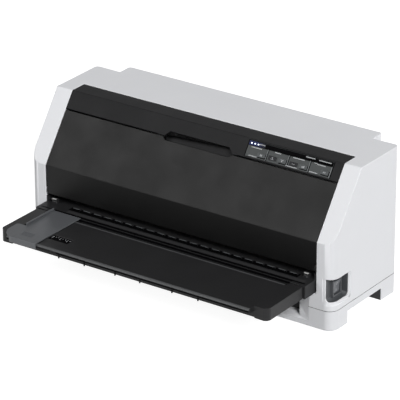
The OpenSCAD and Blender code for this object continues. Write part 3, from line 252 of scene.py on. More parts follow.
class PrinterCaseSettings(bpy.types.PropertyGroup):
    """The mouldings outside."""
    case_colour: colour("Case", "Colour of the light case", "e2e3e6")
    cover_colour: colour("Cover", "Colour of the black front cover", "0a0a0a")
    band_colour: colour("Band", "Colour of the control band", "1f1f20")
    tray_colour: colour("Tray", "Colour of the tray and the front frame", "242425")
    guide_colour: colour("Edge guide", "Colour of the sliding edge guide", "56585b")
    edge_radius: FloatProperty(
        name="Edge radius", description="Rounding of the mouldings' outer edges",
        default=0.7 * MM, min=0, soft_max=2 * MM, unit="LENGTH")
    grain: FloatProperty(
        name="Grain", description="Width of the spark-eroded grain, drawn coarse enough to show",
        default=0.9 * MM, min=0.1 * MM, unit="LENGTH")


class PrinterPanelSettings(bpy.types.PropertyGroup):
    """The control panel's film, keys and lamps."""
    pad_colour: colour("Pads", "Colour of the four pads", "404343")
    key_colour: colour("Keys", "Colour of the key caps", "505354")
    ink_colour: colour("Ink", "Colour of the printed marks", "b9bbbd")
    lamp_glow: FloatProperty(
        name="Lamp glow", description="Strength of the three lamps", default=0.7, min=0)


class PrinterStageSettings(bpy.types.PropertyGroup):
    """Camera, floor and light."""
    lens: FloatProperty(
        name="Lens", description="Focal length on a 36 mm sensor, in millimetres", default=275.55)
    distance: FloatProperty(
        name="Distance", description="From the camera to its target", default=3.98405, unit="LENGTH")
    azimuth: FloatProperty(
        name="Azimuth", description="Turn of the camera to the right of the front",
        default=math.radians(35.33), subtype="ANGLE", unit="ROTATION")
    elevation: FloatProperty(
        name="Elevation", description="Height of the camera as an angle",
        default=math.radians(24.14), subtype="ANGLE", unit="ROTATION")
    roll: FloatProperty(
        name="Roll", description="Tilt of the picture",
        default=math.radians(-0.23), subtype="ANGLE", unit="ROTATION")
    key_level: FloatProperty(
        name="Key light", description="Level of the main lamp", default=0.99, min=0)
    front_level: FloatProperty(
        name="Front light", description="Level of the lamp at the front left", default=0.27, min=0)
    back_level: FloatProperty(
        name="Back light", description="Level of the lamp behind the printer", default=0.4, min=0)
    sky_level: FloatProperty(
        name="Fill", description="Level of the light from all round", default=0.05, min=0)


# --- Finishes ------------------------------------------------------------------------------------

CLOUD_SIZE = 45 * MM     # width of the broad clouds of shade
GLOSS_SPREAD = 0.06      # how far the roughness strays from its mean
NOISE_RANGE = {"From Min": 0.7, "From Max": 1.3}  # where clouds and grain together mostly lie


def finish(name, hex_colour, rough, metal=0.0, grain=0.9 * MM, relief=0.02 * MM, cloud=0.05,
           stretch=(1, 1, 1), specular=0.5, **shader):
    """A surface with a grain, broad faint clouds of shade and an uneven gloss.

    grain is the size of one grain, relief its height, cloud how much the shade varies, and
    stretch draws the grain out along an axis, for rolled, drawn and ground metal.
    """
    found = bpy.data.materials.get(name)
    if found:
        return found
    material = bpy.data.materials.new(name)
    tree = empty_tree(material)
    where = add(tree, "ShaderNodeTexCoord").outputs["Object"]
    drawn = add(tree, "ShaderNodeMapping", {"Vector": where, "Scale": stretch}).outputs["Vector"]
    clouds = add(tree, "ShaderNodeTexNoise",
                 {"Vector": where, "Scale": 1 / CLOUD_SIZE, "Detail": 3.0,
                  "Roughness": 0.55}).outputs["Fac"]
    grains = add(tree, "ShaderNodeTexNoise",
                 {"Vector": drawn, "Scale": 1 / grain, "Detail": 2.0, "Roughness": 0.6}).outputs["Fac"]
    both = add(tree, "ShaderNodeMath", {0: clouds, 1: grains}, operation="ADD").outputs["Value"]
    base = linear(hex_colour)
    dark, light = ([c * k for c in base[:3]] + [1] for k in (1 - cloud, 1 + cloud))
    shade = add(tree, "ShaderNodeMapRange", {"Value": both, **NOISE_RANGE}).outputs["Result"]
    tint = add(tree, "ShaderNodeMix", {0: shade, 6: dark, 7: light}, data_type="RGBA").outputs[2]
    gloss = add(tree, "ShaderNodeMapRange",
                {"Value": both, **NOISE_RANGE, "To Min": rough - GLOSS_SPREAD,
                 "To Max": rough + GLOSS_SPREAD}).outputs["Result"]
    bump = add(tree, "ShaderNodeBump", {"Height": grains, "Distance": relief, "Strength": 1.0})
    sockets = {"Base Color": tint, "Roughness": gloss, "Normal": bump.outputs["Normal"],
               "Metallic": metal, "Specular IOR Level": specular}
    sockets.update(shader)
    surface = add(tree, "ShaderNodeBsdfPrincipled", sockets)
    add(tree, "ShaderNodeOutputMaterial", {"Surface": surface.outputs["BSDF"]})
    material.diffuse_color = base
    return material


def seen_directly(tree):
    """1 where the camera, a mirror image or a view through glass shows the surface, else 0."""
    rays = add(tree, "ShaderNodeLightPath").outputs
    seen = add(tree, "ShaderNodeMath", {0: rays["Is Camera Ray"], 1: rays["Is Glossy Ray"]},
               operation="MAXIMUM").outputs["Value"]
    return add(tree, "ShaderNodeMath", {0: seen, 1: rays["Is Transmission Ray"]},
               operation="MAXIMUM").outputs["Value"]


def case_abs():
    """White ABS from a spark-eroded mould: even, matt, hardly shining."""
    s = bpy.context.scene.printer_case
    return finish("case_abs_spark_eroded", s.case_colour, 0.52, grain=s.grain, relief=0.02 * MM,
                  cloud=0.012)


def cover_abs():
    """Black ABS from a finely etched mould: smoother than the tray, with a soft sheen."""
    s = bpy.context.scene.printer_case
    return finish("cover_abs_fine_etched", s.cover_colour, 0.42, grain=s.grain, relief=0.012 * MM,
                  cloud=0.06, specular=0.2)


def band_abs():
    """Black ABS of the control band, etched like the cover."""
    s = bpy.context.scene.printer_case
    return finish("band_abs_fine_etched", s.band_colour, 0.5, grain=s.grain, relief=0.015 * MM,
                  cloud=0.06, specular=0.12)


def tray_abs():
    """Black ABS of the tray and the front frame: a coarser grain that scatters the light."""
    s = bpy.context.scene.printer_case
    return finish("tray_abs_spark_eroded", s.tray_colour, 0.4, grain=1.2 * s.grain, relief=0.02 * MM,
                  cloud=0.08, specular=0.22)


def guide_styrene():
    """Grey high-impact styrene of the edge guide, polished enough to glide."""
    return finish("guide_styrene_polished", bpy.context.scene.printer_case.guide_colour, 0.36,
                  relief=0.008 * MM, cloud=0.04)


def zinc_steel():
    """Zinc-plated sheet steel: bluish grey, with the faint lines of the rolling mill."""
    return finish("zinc_plated_sheet_steel", "96999d", 0.45, metal=1.0, grain=2.0 * MM,
                  relief=0.01 * MM, cloud=0.08, stretch=(1, 0.12, 1))


def ground_steel():
    """Centreless-ground steel shaft: bright, with fine rings round it."""
    return finish("ground_steel_shaft", "cfd0d2", 0.2, metal=1.0, grain=1.0 * MM, relief=0.004 * MM,
                  cloud=0.05, stretch=(1, 0.05, 0.05))


def acetal():
    """Natural acetal, moulded: milky white and slightly waxy."""
    return finish("natural_acetal_moulded", "e6e2d3", 0.38, relief=0.006 * MM, cloud=0.03)


def roller_rubber():
    """Ground feed rubber: dead matt, with the fine scratches of the grinding wheel."""
    return finish("feed_rubber_ground", "26272a", 0.82, grain=0.8 * MM, relief=0.03 * MM, cloud=0.1,
                  stretch=(1, 0.2, 0.2))


def foot_rubber_and_shade():
    """Moulded rubber of the feet; on the lower case, painted shade along the seam and inside the arch.
    """
    return finish("foot_rubber_and_painted_shade", "2a2a2b", 0.75, relief=0.02 * MM, cloud=0.08)


def belt_neoprene():
    """Neoprene belt over cords: matt black."""
    return finish("belt_neoprene", "1d1d1f", 0.7, grain=1.0 * MM, relief=0.03 * MM, cloud=0.1,
                  stretch=(1, 1, 0.2))


def motor_can():
    """Deep-drawn steel can under a thin dark lacquer."""
    return finish("motor_can_lacquered", "55575a", 0.4, metal=0.7, relief=0.01 * MM, cloud=0.08)


def head_alloy():
    """Die-cast aluminium, anodised black: a soft metallic sheen on the fins."""
    return finish("head_alloy_black_anodised", "2b2c30", 0.42, metal=0.75, grain=0.7 * MM,
                  relief=0.03 * MM, cloud=0.1)


def carriage_nylon():
    """Glass-filled nylon: dark and slightly fibrous. It also stands for the transformer's core."""
    return finish("carriage_nylon_glass_filled", "232427", 0.55, grain=1.4 * MM, relief=0.02 * MM,
                  cloud=0.15, stretch=(0.4, 1, 1))


def ribbon_styrene():
    """Black styrene of the ribbon cartridge, with a low gloss."""
    return finish("ribbon_cartridge_styrene", "242427", 0.4, relief=0.01 * MM, cloud=0.05)


def ribbon_nylon():
    """Woven nylon band, inked black: threads 0.4 mm apart, drawn at 1 mm."""
    return finish("ribbon_nylon_inked", "141417", 0.85, grain=1.0 * MM, relief=0.03 * MM, cloud=0.3)


def housing_grey():
    """Dark grey ABS of the switch housing."""
    return finish("switch_abs_dark_grey", "4d4f52", 0.42, relief=0.012 * MM, cloud=0.05)


def rocker_grey():
    """Grey nylon of the rocker, smooth from handling."""
    return finish("rocker_nylon_grey", "6a6c70", 0.32, relief=0.005 * MM, cloud=0.05)


def inlet_black():
    """Black polyamide of the mains inlet and the ports' tongues."""
    return finish("inlet_polyamide_black", "1c1c1e", 0.35, relief=0.008 * MM, cloud=0.05)


def tractor_grey():
    """Mid-grey ABS of the tractor units and their flaps."""
    return finish("tractor_abs_grey", "76797b", 0.45, relief=0.012 * MM, cloud=0.03)


def painted_tray_edge_highlight():
    """Painted highlight at the edges of the tray that paper slides over: the black drawn as a grey
    shine.
    """
    return finish("tray_edge_painted_highlight", "4e4f50", 0.4, relief=0.006 * MM, cloud=0.1, specular=0.25)


def shelf_lighter():
    """ABS on a band of the front frame's shelf, lighter than the rest of the frame."""
    return finish("shelf_lighter_band", "333334", 0.4, relief=0.01 * MM, cloud=0.1, specular=0.25)


def clip_nickel():
    """Bright nickel on the small spring clips of the cover's hinge."""
    return finish("hinge_clip_bright_nickel", "dcdcda", 0.3, metal=0.35, relief=0.004 * MM, cloud=0.04)


def painted_edge_highlight():
    """Painted highlight on the tops of the paper ribs and on the edge guide's right rim, drawn as a
    pale shine.
    """
    return finish("edge_highlight_painted", "5c5e60", 0.3, relief=0.003 * MM, cloud=0.2)


def chip_epoxy():
    """Moulding epoxy of the chips: charcoal, matt, slightly rough."""
    return finish("chip_epoxy_moulded", "1e1f21", 0.6, relief=0.02 * MM, cloud=0.08)


def sleeve_blue():
    """Shrink sleeve of the capacitors: dark blue and glossy."""
    return finish("capacitor_sleeve_blue", "16284f", 0.25, relief=0.004 * MM, cloud=0.05)


def tape_yellow():
    """Polyester tape round the transformer's winding: yellow, with layers showing."""
    return finish("transformer_tape_yellow", "c9a440", 0.35, grain=1.2 * MM, relief=0.02 * MM,
                  cloud=0.08, stretch=(1, 1, 0.1))


def board_green():
    """Glass-epoxy board under green solder mask: glossy over fine tracks."""
    return finish("board_green_solder_mask", "1f5a38", 0.3, grain=2.5 * MM, relief=0.02 * MM,
                  cloud=0.35, stretch=(1, 0.15, 1))


def board_olive():
    """Phenolic paper board of the power supply: brown-olive and matt."""
    return finish("board_phenolic", "6a5a34", 0.5, grain=2.0 * MM, relief=0.02 * MM, cloud=0.15)


def nickel_shell():
    """Nickel-plated steel: the connectors' shells, pins, chip legs, screws and the drive pulley."""
    return finish("nickel_plated_shell", "bdbdba", 0.24, metal=1.0, relief=0.004 * MM, cloud=0.04)


def contact_gold():
    """Thin gold over nickel on the contacts."""
    return finish("contact_gold_flash", "d8b45c", 0.25, metal=1.0, relief=0.004 * MM, cloud=0.05)


def pad_film():
    """Grey printed polyester film over the keys, with a fine satin face."""
    return finish("pad_film_satin", bpy.context.scene.printer_panel.pad_colour, 0.45, relief=0.006 * MM,
                  cloud=0.05, specular=0.25)


def black_and_painted_shade():
    """Deep black that hardly shines: the panel's strip and border, the pegs and the scale plate, and
    painted shade in gaps, seams, round the ribs, under the keys, below the tray's lip and along the
    cover's upper edge.
    """
    return finish("black_film_and_painted_shade", "060607", 0.5, relief=0.003 * MM, cloud=0.05, specular=0.02)


def window_film(blue):
    """Blue-tinted polyester of the window in front of the lamps."""
    return finish("lamp_window_" + blue, blue, 0.4, relief=0.003 * MM, cloud=0.08, specular=0.12)


def pad_rim_highlight():
    """Painted highlight on the raised right rim of each pad: polyester drawn pale."""
    return finish("pad_rim_painted_highlight", "74787a", 0.4, relief=0.004 * MM, cloud=0.06, specular=0.25)


def key_rubber(dark):
    """Soft-touch key caps: dark ones for the paper, the others in the pads' grey."""
    if dark:
        return finish("key_cap_soft_dark", "232426", 0.5, relief=0.01 * MM, cloud=0.04, specular=0.2)
    return finish("key_cap_soft", bpy.context.scene.printer_panel.key_colour, 0.5, relief=0.01 * MM,
                  cloud=0.04, specular=0.2)


def ink():
    """Screen-printed pale ink."""
    return finish("screen_print_pale", bpy.context.scene.printer_panel.ink_colour, 0.6,
                  relief=0.004 * MM, cloud=0.05)


def lamp_lens():
    """Clear lamp lens with a bluish white light behind it."""
    glow = {"Emission Color": linear("dfeaff"),
            "Emission Strength": bpy.context.scene.printer_panel.lamp_glow}
    return finish("lamp_lens_lit", "eef3ff", 0.2, relief=0.002 * MM, cloud=0.02, **glow)


# --- Operators -----------------------------------------------------------------------------------

class PRINTER_OT_stage(bpy.types.Operator):
    """Camera, floor, world and lamps"""
    bl_idname = "printer.stage"
    bl_label = "Stage"

    TARGET = (-1.7, 53.6, 103.4)       # where the camera looks
    FLOOR_DROP = 0.2 * MM              # below the feet, so that the two don't share a plane
    FLOOR_LIFT = 0.93                  # light that the floor adds where it is seen directly
    LAMP_AWAY, LAMP_SIZE = 14.0, 6.0   # metres: distance and width of each lamp
    LAMP_CENTRE = Vector((0, 0, 0.1))  # metres: what the lamps are turned to
    # The background that is seen directly, by height: level 1 up to 0.06, down to 0.3 at 0.4
    HORIZON = {"From Min": 0.06, "To Min": 1.0, "From Max": 0.4, "To Max": 0.3}

    def execute(self, context):
        s = context.scene.printer_stage
        self.camera(s)
        self.floor()
        self.world(s)
        # each lamp: direction that it comes from and level on a matt white face turned to it
        self.lamp("key", (0.69, -0.45, 0.56), s.key_level)
        self.lamp("front", (-0.50, -0.66, 0.56), s.front_level)
        self.lamp("back", (0.30, 0.93, 0.22), s.back_level)
        return {"FINISHED"}

    def camera(self, s):
        """The camera of the photograph: away points from its target to it."""
        away = Vector((math.sin(s.azimuth) * math.cos(s.elevation),
                       -math.cos(s.azimuth) * math.cos(s.elevation), math.sin(s.elevation)))
        target = CASE @ Vector(self.TARGET)
        right = (-away).cross(Vector((0, 0, 1))).normalized()
        up = right.cross(-away)
        across = math.cos(s.roll) * right + math.sin(s.roll) * up
        upward = -math.sin(s.roll) * right + math.cos(s.roll) * up
        data = bpy.data.cameras.new("photo_camera")
        data.lens, data.sensor_width, data.sensor_fit = s.lens, 36.0, "HORIZONTAL"
        data.clip_end = 50
        camera = in_scene("photo_camera", data)
        camera.matrix_world = Matrix.Translation(target + away * s.distance) @ Matrix(
            (across, upward, away)).transposed().to_4x4()
        bpy.context.scene.camera = camera

    def floor(self):
        """White paper without an edge in the picture."""
        bm = bmesh.new()
        bmesh.ops.create_grid(bm, x_segments=1, y_segments=1, size=8)
        mesh = bpy.data.meshes.new("floor")
        bm.to_mesh(mesh)
        bm.free()
        floor = in_scene("floor", mesh)
        floor.location.z = -self.FLOOR_DROP
        material = bpy.data.materials.new("floor_paper_white")
        tree = empty_tree(material)
        # matt paper that keeps the shadow, lifted to white where it is seen directly
        lift = add(tree, "ShaderNodeMath", {0: seen_directly(tree), 1: self.FLOOR_LIFT},
                   operation="MULTIPLY").outputs["Value"]
        paper = add(tree, "ShaderNodeBsdfDiffuse", {"Color": linear("a0a0a0")})
        glow = add(tree, "ShaderNodeEmission", {"Color": (1, 1, 1, 1), "Strength": lift})
        both = add(tree, "ShaderNodeAddShader", {0: paper.outputs[0], 1: glow.outputs[0]})
        add(tree, "ShaderNodeOutputMaterial", {"Surface": both.outputs[0]})
        mesh.materials.append(material)

    def world(self, s):
        """White at the horizon, darker above it, as in a studio without a ceiling lamp."""
        world = bpy.data.worlds.new("studio")
        bpy.context.scene.world = world
        tree = empty_tree(world)
        where = add(tree, "ShaderNodeTexCoord").outputs["Generated"]
        height = add(tree, "ShaderNodeSeparateXYZ", {"Vector": where}).outputs["Z"]
        shown = add(tree, "ShaderNodeMapRange", {"Value": height, **self.HORIZON}).outputs["Result"]
        level = add(tree, "ShaderNodeMapRange", {"Value": seen_directly(tree), "To Min": s.sky_level,
                                                 "To Max": shown}).outputs["Result"]
        sky = add(tree, "ShaderNodeBackground", {"Color": (1, 1, 1, 1), "Strength": level})
        add(tree, "ShaderNodeOutputWorld", {"Surface": sky.outputs["Background"]})

    def lamp(self, name, direction, level):
        """A round area lamp, turned to the printer."""
        direction = Vector(direction).normalized()
        data = bpy.data.lights.new(name, "AREA")
        data.shape, data.size = "DISK", self.LAMP_SIZE
        # a matt white face turned to the lamp then renders at about this level
        data.energy = level * math.pi ** 2 * self.LAMP_AWAY ** 2
        place = Matrix.Translation(self.LAMP_CENTRE + direction * self.LAMP_AWAY)
        turn = direction.to_track_quat("Z", "Y").to_matrix().to_4x4()
        in_scene(name, data).matrix_world = place @ turn


class PRINTER_OT_case(bpy.types.Operator):
    """Upper and lower case, rear cover, feet and screws"""
    bl_idname = "printer.case"
    bl_label = "Case"

    def execute(self, context):
        radius = context.scene.printer_case.edge_radius
        moulding("upper_case", case_abs(), radius, pick=self.away_from_seam)
        moulding("lower_case", case_abs(), radius, pick=self.away_from_seam,
                 inlays=(foot_rubber_and_shade(),), inlaid=self.dark)
        moulding("rear_cover", case_abs(), 0.6 * radius)
        moulding("rubber_feet", foot_rubber_and_shade(), 0.4 * MM)
        moulding("case_screws", zinc_steel())
        return {"FINISHED"}

    def away_from_seam(self, p):
        """The two halves of the case meet with sharp edges."""
        return abs(p.z - SEAM_Z) > 1.5

    def dark(self, p, normal):
        """Painted shade: the shadow line along the seam, and the front faces of the rear feet inside
        the arch.
        """
        rear_foot = normal.y < -0.9 and 60 < p.y < 140 and p.z < 20
        return SEAM_Z - 0.8 < p.z < SEAM_Z + 0.1 or rear_foot


class PRINTER_OT_cover(bpy.types.Operator):
    """The hinged front cover"""
    bl_idname = "printer.cover"
    bl_label = "Front cover"

    PAINTED_SHADE_WIDTH = 0.7       # width of the upper edge painted black as shade from the seam under the control band

    def execute(self, context):
        shade_from = up_slope(case_box("front_cover")[1]) - self.PAINTED_SHADE_WIDTH
        moulding("front_cover", cover_abs(), context.scene.printer_case.edge_radius,
                 inlays=(black_and_painted_shade(),),
                 inlaid=lambda p, normal: up_slope(p) > shade_from and normal.y > -0.75)
        return {"FINISHED"}


class PRINTER_OT_band(bpy.types.Operator):
    """Control band, key panel, marks, lamps and keys"""
    bl_idname = "printer.band"
    bl_label = "Control band"

    # Places on the slope: X, then how far up the slope, then the height above it.
    KEY_S = 87.7               # middle of the keys
    STRIP = (97.7, 103.1)      # lower and upper edge of the strip with the lamps
    FILM = 0.12                # thickness of the strip and the window
    DASH, INKED = 1.4, 0.72    # about one dash with its gap, and the inked share of it
    # The window is deep blue over the lamps and fades into the strip: from x, to x, colour.
    WINDOW = ((72.8, 86, "0b1a4e"), (86, 92, "081238"), (92, 97, "060a1e"))
    # Each caption is a row of short dashes: x, place up the slope, length, height.
    CAPTIONS = [(88.5, 100.4, 8.7, 1.2), (159, 100.8, 14, 1.2), (178.6, 100.6, 19, 1.2),
                (78, 94.9, 16, 1.2), (78, 83.4, 12, 1.1), (114, 95.6, 9.3, 1.2),
                (141.7, 95.5, 17.3, 1.2), (134.6, 83.2, 17, 1.0), (172.7, 96.2, 5.3, 0.8),
                (178, 95.0, 12.5, 1.2), (170, 83.6, 12.4, 1.2)]
    DARK_KEYS = ("load_key", "tear_off_key")
    # Generic signs on the caps, in blocks between two corners from the middle of the cap.
    SIGNS = {
        "pause_key": [(-1.3, -1.3, -0.5, 1.3), (0.5, -1.3, 1.3, 1.3)],
        "load_key": [(-2.2, -1.4, 2.2, -0.9), (-0.3, -0.5, 0.3, 1.5), (-1.1, 0.5, 1.1, 0.9)],
        "line_feed_key": [(-2.2, 0.9, 2.2, 1.4), (-0.3, -1.5, 0.3, 0.5), (-1.1, -0.9, 1.1, -0.5)],
        "tear_off_key": [(-2.4 + 1.3 * i, -0.25, -1.7 + 1.3 * i, 0.25) for i in range(4)],
        "font_key": [(-1.8, -1.2, -0.9, 0.2), (-0.4, -1.2, 0.5, 0.8), (1.0, -1.2, 1.9, 1.4)],
        "pitch_key": [(-1.6 + 1.3 * i, -1.2, -1.1 + 1.3 * i, 1.2) for i in range(3)],
    }

    def execute(self, context):
        moulding("control_bezel", band_abs(), 0.5 * MM)
        moulding("key_panel", pad_film())
        moulding("status_lamps", lamp_lens(), 0.3 * MM)
        slope = on_slope()
        low, high = self.STRIP
        blocks("panel_strip", black_and_painted_shade(), "key_panel",
               [(97, low, 0, 200.3, high, self.FILM)], at=slope)
        for i, (x0, x1, blue) in enumerate(self.WINDOW):
            blocks("lamp_window_%d" % (i + 1), window_film(blue), "key_panel",
                   [(x0, low, 0, x1, high, self.FILM)], at=slope)
        # painted highlight on the right rim of each pad
        blocks("painted_pad_rims", pad_rim_highlight(), "key_panel",
               [(x, 82.5, 0, x + 0.8, 97.2, 0.1) for x in (102.8, 134.8, 166.8, 199.2)], at=slope)
        # painted shade in the gaps beside the rims and under the strip
        blocks("panel_gap_shade", black_and_painted_shade(), "key_panel",
               [(x, 82.3, 0, x + 1.3, 97.7, 0.08) for x in (103.6, 135.6, 167.6)]
               + [(72.5, 96.9, 0, 200.4, 97.7, 0.08)], at=slope)
        blocks("panel_border", black_and_painted_shade(), "control_bezel",
               [(71.2, 81.6, -0.2, 72.4, 103.6, 0.06), (200.6, 81.6, -0.2, 201.8, 103.6, 0.06),
                (71.2, 103.4, -0.2, 201.8, 104.2, 0.06)], at=slope)
        # shadow of the seam over the cover, on both sides of the finger notch
        blocks("seam_shadow", black_and_painted_shade(), "control_bezel",
               [(-213.5, 79.5, -0.3, -62, 80.6, 0.05), (62, 79.5, -0.3, 213.5, 80.6, 0.05)], at=slope)
        dashes = []
        for x, s, long, high in self.CAPTIONS:
            count = max(round(long / self.DASH), 1)
            dashes += [(x + i * long / count, s, 0.1,
                        x + (i + self.INKED) * long / count, s + high, 0.17) for i in range(count)]
        blocks("panel_marks", ink(), "key_panel", dashes, at=slope)
        # painted shadow: each grey key has a dark line at its right and below it
        key_shadows = []
        for key, sign in self.SIGNS.items():
            dark = key in self.DARK_KEYS
            moulding(key, key_rubber(dark), 0.25 * MM)
            low, high = case_box(key)
            x = (low.x + high.x) / 2
            blocks(key + "_sign", ink(), key, [(a, b, 0.35, c, d, 0.46) for a, b, c, d in sign],
                   at=on_slope(self.KEY_S, x))
            if not dark:
                key_shadows += [(x + 6.05, 83.6, 0, x + 7.3, 90.6, 0.05),
                             (x - 4.5, 83.6, 0, x + 7.3, 84.85, 0.05)]
        blocks("key_painted_shadows", black_and_painted_shade(), "key_panel", key_shadows, at=slope)
        return {"FINISHED"}


class PRINTER_OT_front(bpy.types.Operator):
    """Front frame, hinge clips, tray and edge guide"""
    bl_idname = "printer.front"
    bl_label = "Front frame and tray"

    # The top of the front frame's shelf is at 68, the top of the tray at 67.
    RIBS = [-163 + 17.2 * i for i in range(21)]    # X of the middle of each paper rib
    MARKS = [-138.5 + 3.8 * i for i in range(8)]   # X of the marks of the tray's scale
    PEGS = (-107, -66, -17, 22, 72, 112)           # X of the pegs under the lip
    CLIPS = (-200, 200)        # X of the hinge clips
    BEHIND_LIP = -107          # Y from which the tray's edges are rounded
    LIP_FRONT = -111.4         # Y of the front part of the round lip
    LIP_END = 191              # X to each side where the lip ends

    def execute(self, context):
        moulding("front_frame", tray_abs(), 0.35 * MM)
        moulding("paper_tray", tray_abs(), context.scene.printer_case.edge_radius,
                 pick=lambda p: p.y > self.BEHIND_LIP, inlays=(painted_tray_edge_highlight(), black_and_painted_shade()),
                 inlaid=self.lip)
        moulding("edge_guide", guide_styrene(), 0.4 * MM)
        moulding("hinge_clips", tray_abs(), 0.2 * MM)
        blocks("clip_springs", clip_nickel(), "hinge_clips",
               [(x - 3.2, -1.6, 73.9, x + 3.2, 1.2, 74.4) for x in self.CLIPS], 0.15)
        # painted highlights on the tops of the paper ribs, behind painted shade on their leading slopes
        blocks("painted_edge_highlight", painted_edge_highlight(), "front_frame",
               [(x - 5.2, -1.7, 69.3, x + 5.2, -0.3, 69.75) for x in self.RIBS], 0.15)
        blocks("rib_slope_shade", black_and_painted_shade(), "front_frame",
               [(x - 6.3, -4.7, 67.9, x + 6.3, -1.9, 69.7) for x in self.RIBS])
        # shadows round the ribs and along two edges in front of the shelf
        blocks("rib_bed", black_and_painted_shade(), "front_frame",
               [(-172, -6.6, 67.9, 190, 3.2, 68.06), (-209, -18.5, 67.4, 209, -16.0, 68.06),
                (-209, -23.6, 65.4, 209, -19.4, 66.15)])
        # a band of the shelf drawn lighter than the rest of the frame
        blocks("shelf_lighter", shelf_lighter(), "front_frame",
               [(-170, -14.6, 67.9, 205, -8.4, 68.05)])
        # painted highlight along the tray's rear edge
        blocks("tray_rear_edge_highlight", painted_tray_edge_highlight(), "paper_tray",
               [(-141.3, -32.6, 66.9, 188, -30.4, 67.08)])
        # scale for the paper's edge, in its recess in the tray
        blocks("scale_plate", black_and_painted_shade(), "paper_tray",
               [(-141.2, -90.8, 66.15, -109.8, -78.2, 66.4)])
        blocks("scale_marks", ink(), "paper_tray",
               [(x, -80.4, 66.4, x + 0.6, -82.4 if i % 3 else -85.6, 66.47)
                for i, x in enumerate(self.MARKS)])
        rods("lip_pegs", black_and_painted_shade(), "paper_tray",
             [(x, -112.2, 55.6, x, -112.2, 60.6) for x in self.PEGS], 1.0, 12)
        # fence and finger grip of the guide, with painted shade in the gap beside the fence and a
        # painted highlight on its right rim
        blocks("guide_fence", guide_styrene(), "edge_guide",
               [(-186.5, -79, 69, -184.9, -20, 72.2)], 0.4)
        blocks("guide_gap_shade", black_and_painted_shade(), "edge_guide", [(-189.4, -79, 68.5, -186.6, -21, 68.7)])
        blocks("guide_rim_highlight", painted_edge_highlight(), "edge_guide",
               [(-142.5, -98, 68.4, -141.8, -23, 68.75)], 0.1)
        blocks("guide_grip", guide_styrene(), "edge_guide",
               [(-176, -104 + 2.6 * i, 68.4, -158, -102.9 + 2.6 * i, 69.2) for i in range(4)], 0.3)
        return {"FINISHED"}

    def lip(self, p, normal):
        """The round lip has a painted highlight above its middle and painted shade below it."""
        if p.y > self.LIP_FRONT or abs(p.x) > self.LIP_END or normal.y > -0.15:
            return 0
        return 1 if normal.z > 0.25 else 2


class PRINTER_OT_switch(bpy.types.Operator):
    """Power switch: housing, rocker and its marks"""
    bl_idname = "printer.switch"
    bl_label = "Power switch"

    HALF, LEAN = 8.6, 2.1      # height of each half of the face; how far the upper one leans

    def execute(self, context):
        moulding("switch_housing", housing_grey(), 0.3 * MM)
        moulding("power_rocker", rocker_grey(), 0.4 * MM)
        low, high = case_box("power_rocker")
        x, y, z = low.x + 1.3, (low.y + high.y) / 2, low.z + self.HALF
        blocks("rocker_bar", ink(), "power_rocker",
               [(x + 1.6, y - 0.4, z - 6.5, x + 1.92, y + 0.4, z - 3)])
        # the ring stands on the tilted upper half of the rocker, and a disc fills it
        tilt = Matrix.Rotation(math.atan2(self.LEAN, self.HALF), 4, "Y")
        tilted = CASE @ Matrix.Translation((x + 1.9, y, z)) @ tilt
        rods("rocker_ring", ink(), "power_rocker", [(-0.3, 0, 4.6, 0.06, 0, 4.6)], 1.7, at=tilted)
        rods("rocker_ring_hole", rocker_grey(), "power_rocker",
             [(-0.3, 0, 4.6, 0.12, 0, 4.6)], 1.1, at=tilted)
        return {"FINISHED"}


class PRINTER_OT_connectors(bpy.types.Operator):
    """Mains inlet and data ports"""
    bl_idname = "printer.connectors"
    bl_label = "Connectors"

    CONTACTS, PITCH = 18, 2.16     # of the parallel port, on each side of its tongue

    def execute(self, context):
        moulding("mains_inlet", inlet_black(), 0.3 * MM)
        moulding("data_ports", nickel_shell())
        low, high = case_box("mains_inlet")
        x, z = (low.x + high.x) / 2, (low.z + high.z) / 2
        blocks("inlet_pins", nickel_shell(), "mains_inlet",
               [(x + a - 1.1, 131.9, z + b - 2.1, x + a + 1.1, 147.1, z + b + 2.1)
                for a, b in ((-6, -1.5), (6, -1.5), (0, 2))], 0.3)
        # tongues of the two ports and their contacts, from the middle of each port's foot
        low, high = case_box("data_ports")
        x, z = low.x + 33, low.z
        blocks("parallel_tongue", inlet_black(), "data_ports",
               [(x - 24.1, 142.2, z + 4.6, x + 24.1, 149.6, z + 7.8)], 0.2)
        contacts = [x - 18.4 + self.PITCH * i for i in range(self.CONTACTS)]
        blocks("parallel_contacts", contact_gold(), "data_ports",
               [(c - 0.5, 143, z + h, c + 0.5, 149, z + h + 0.2)
                for c in contacts for h in (4.45, 7.75)])
        x = high.x - 6.4
        blocks("usb_tongue", acetal(), "data_ports",
               [(x - 2.9, 139.2, z + 4.5, x + 2.9, 149.1, z + 7.5)], 0.2)
        blocks("usb_contacts", contact_gold(), "data_ports",
               [(x + a - 0.5, 141, z + h, x + a + 0.5, 149, z + h + 0.15)
                for a in (-1.5, 1.5) for h in (4.4, 7.45)])
        return {"FINISHED"}


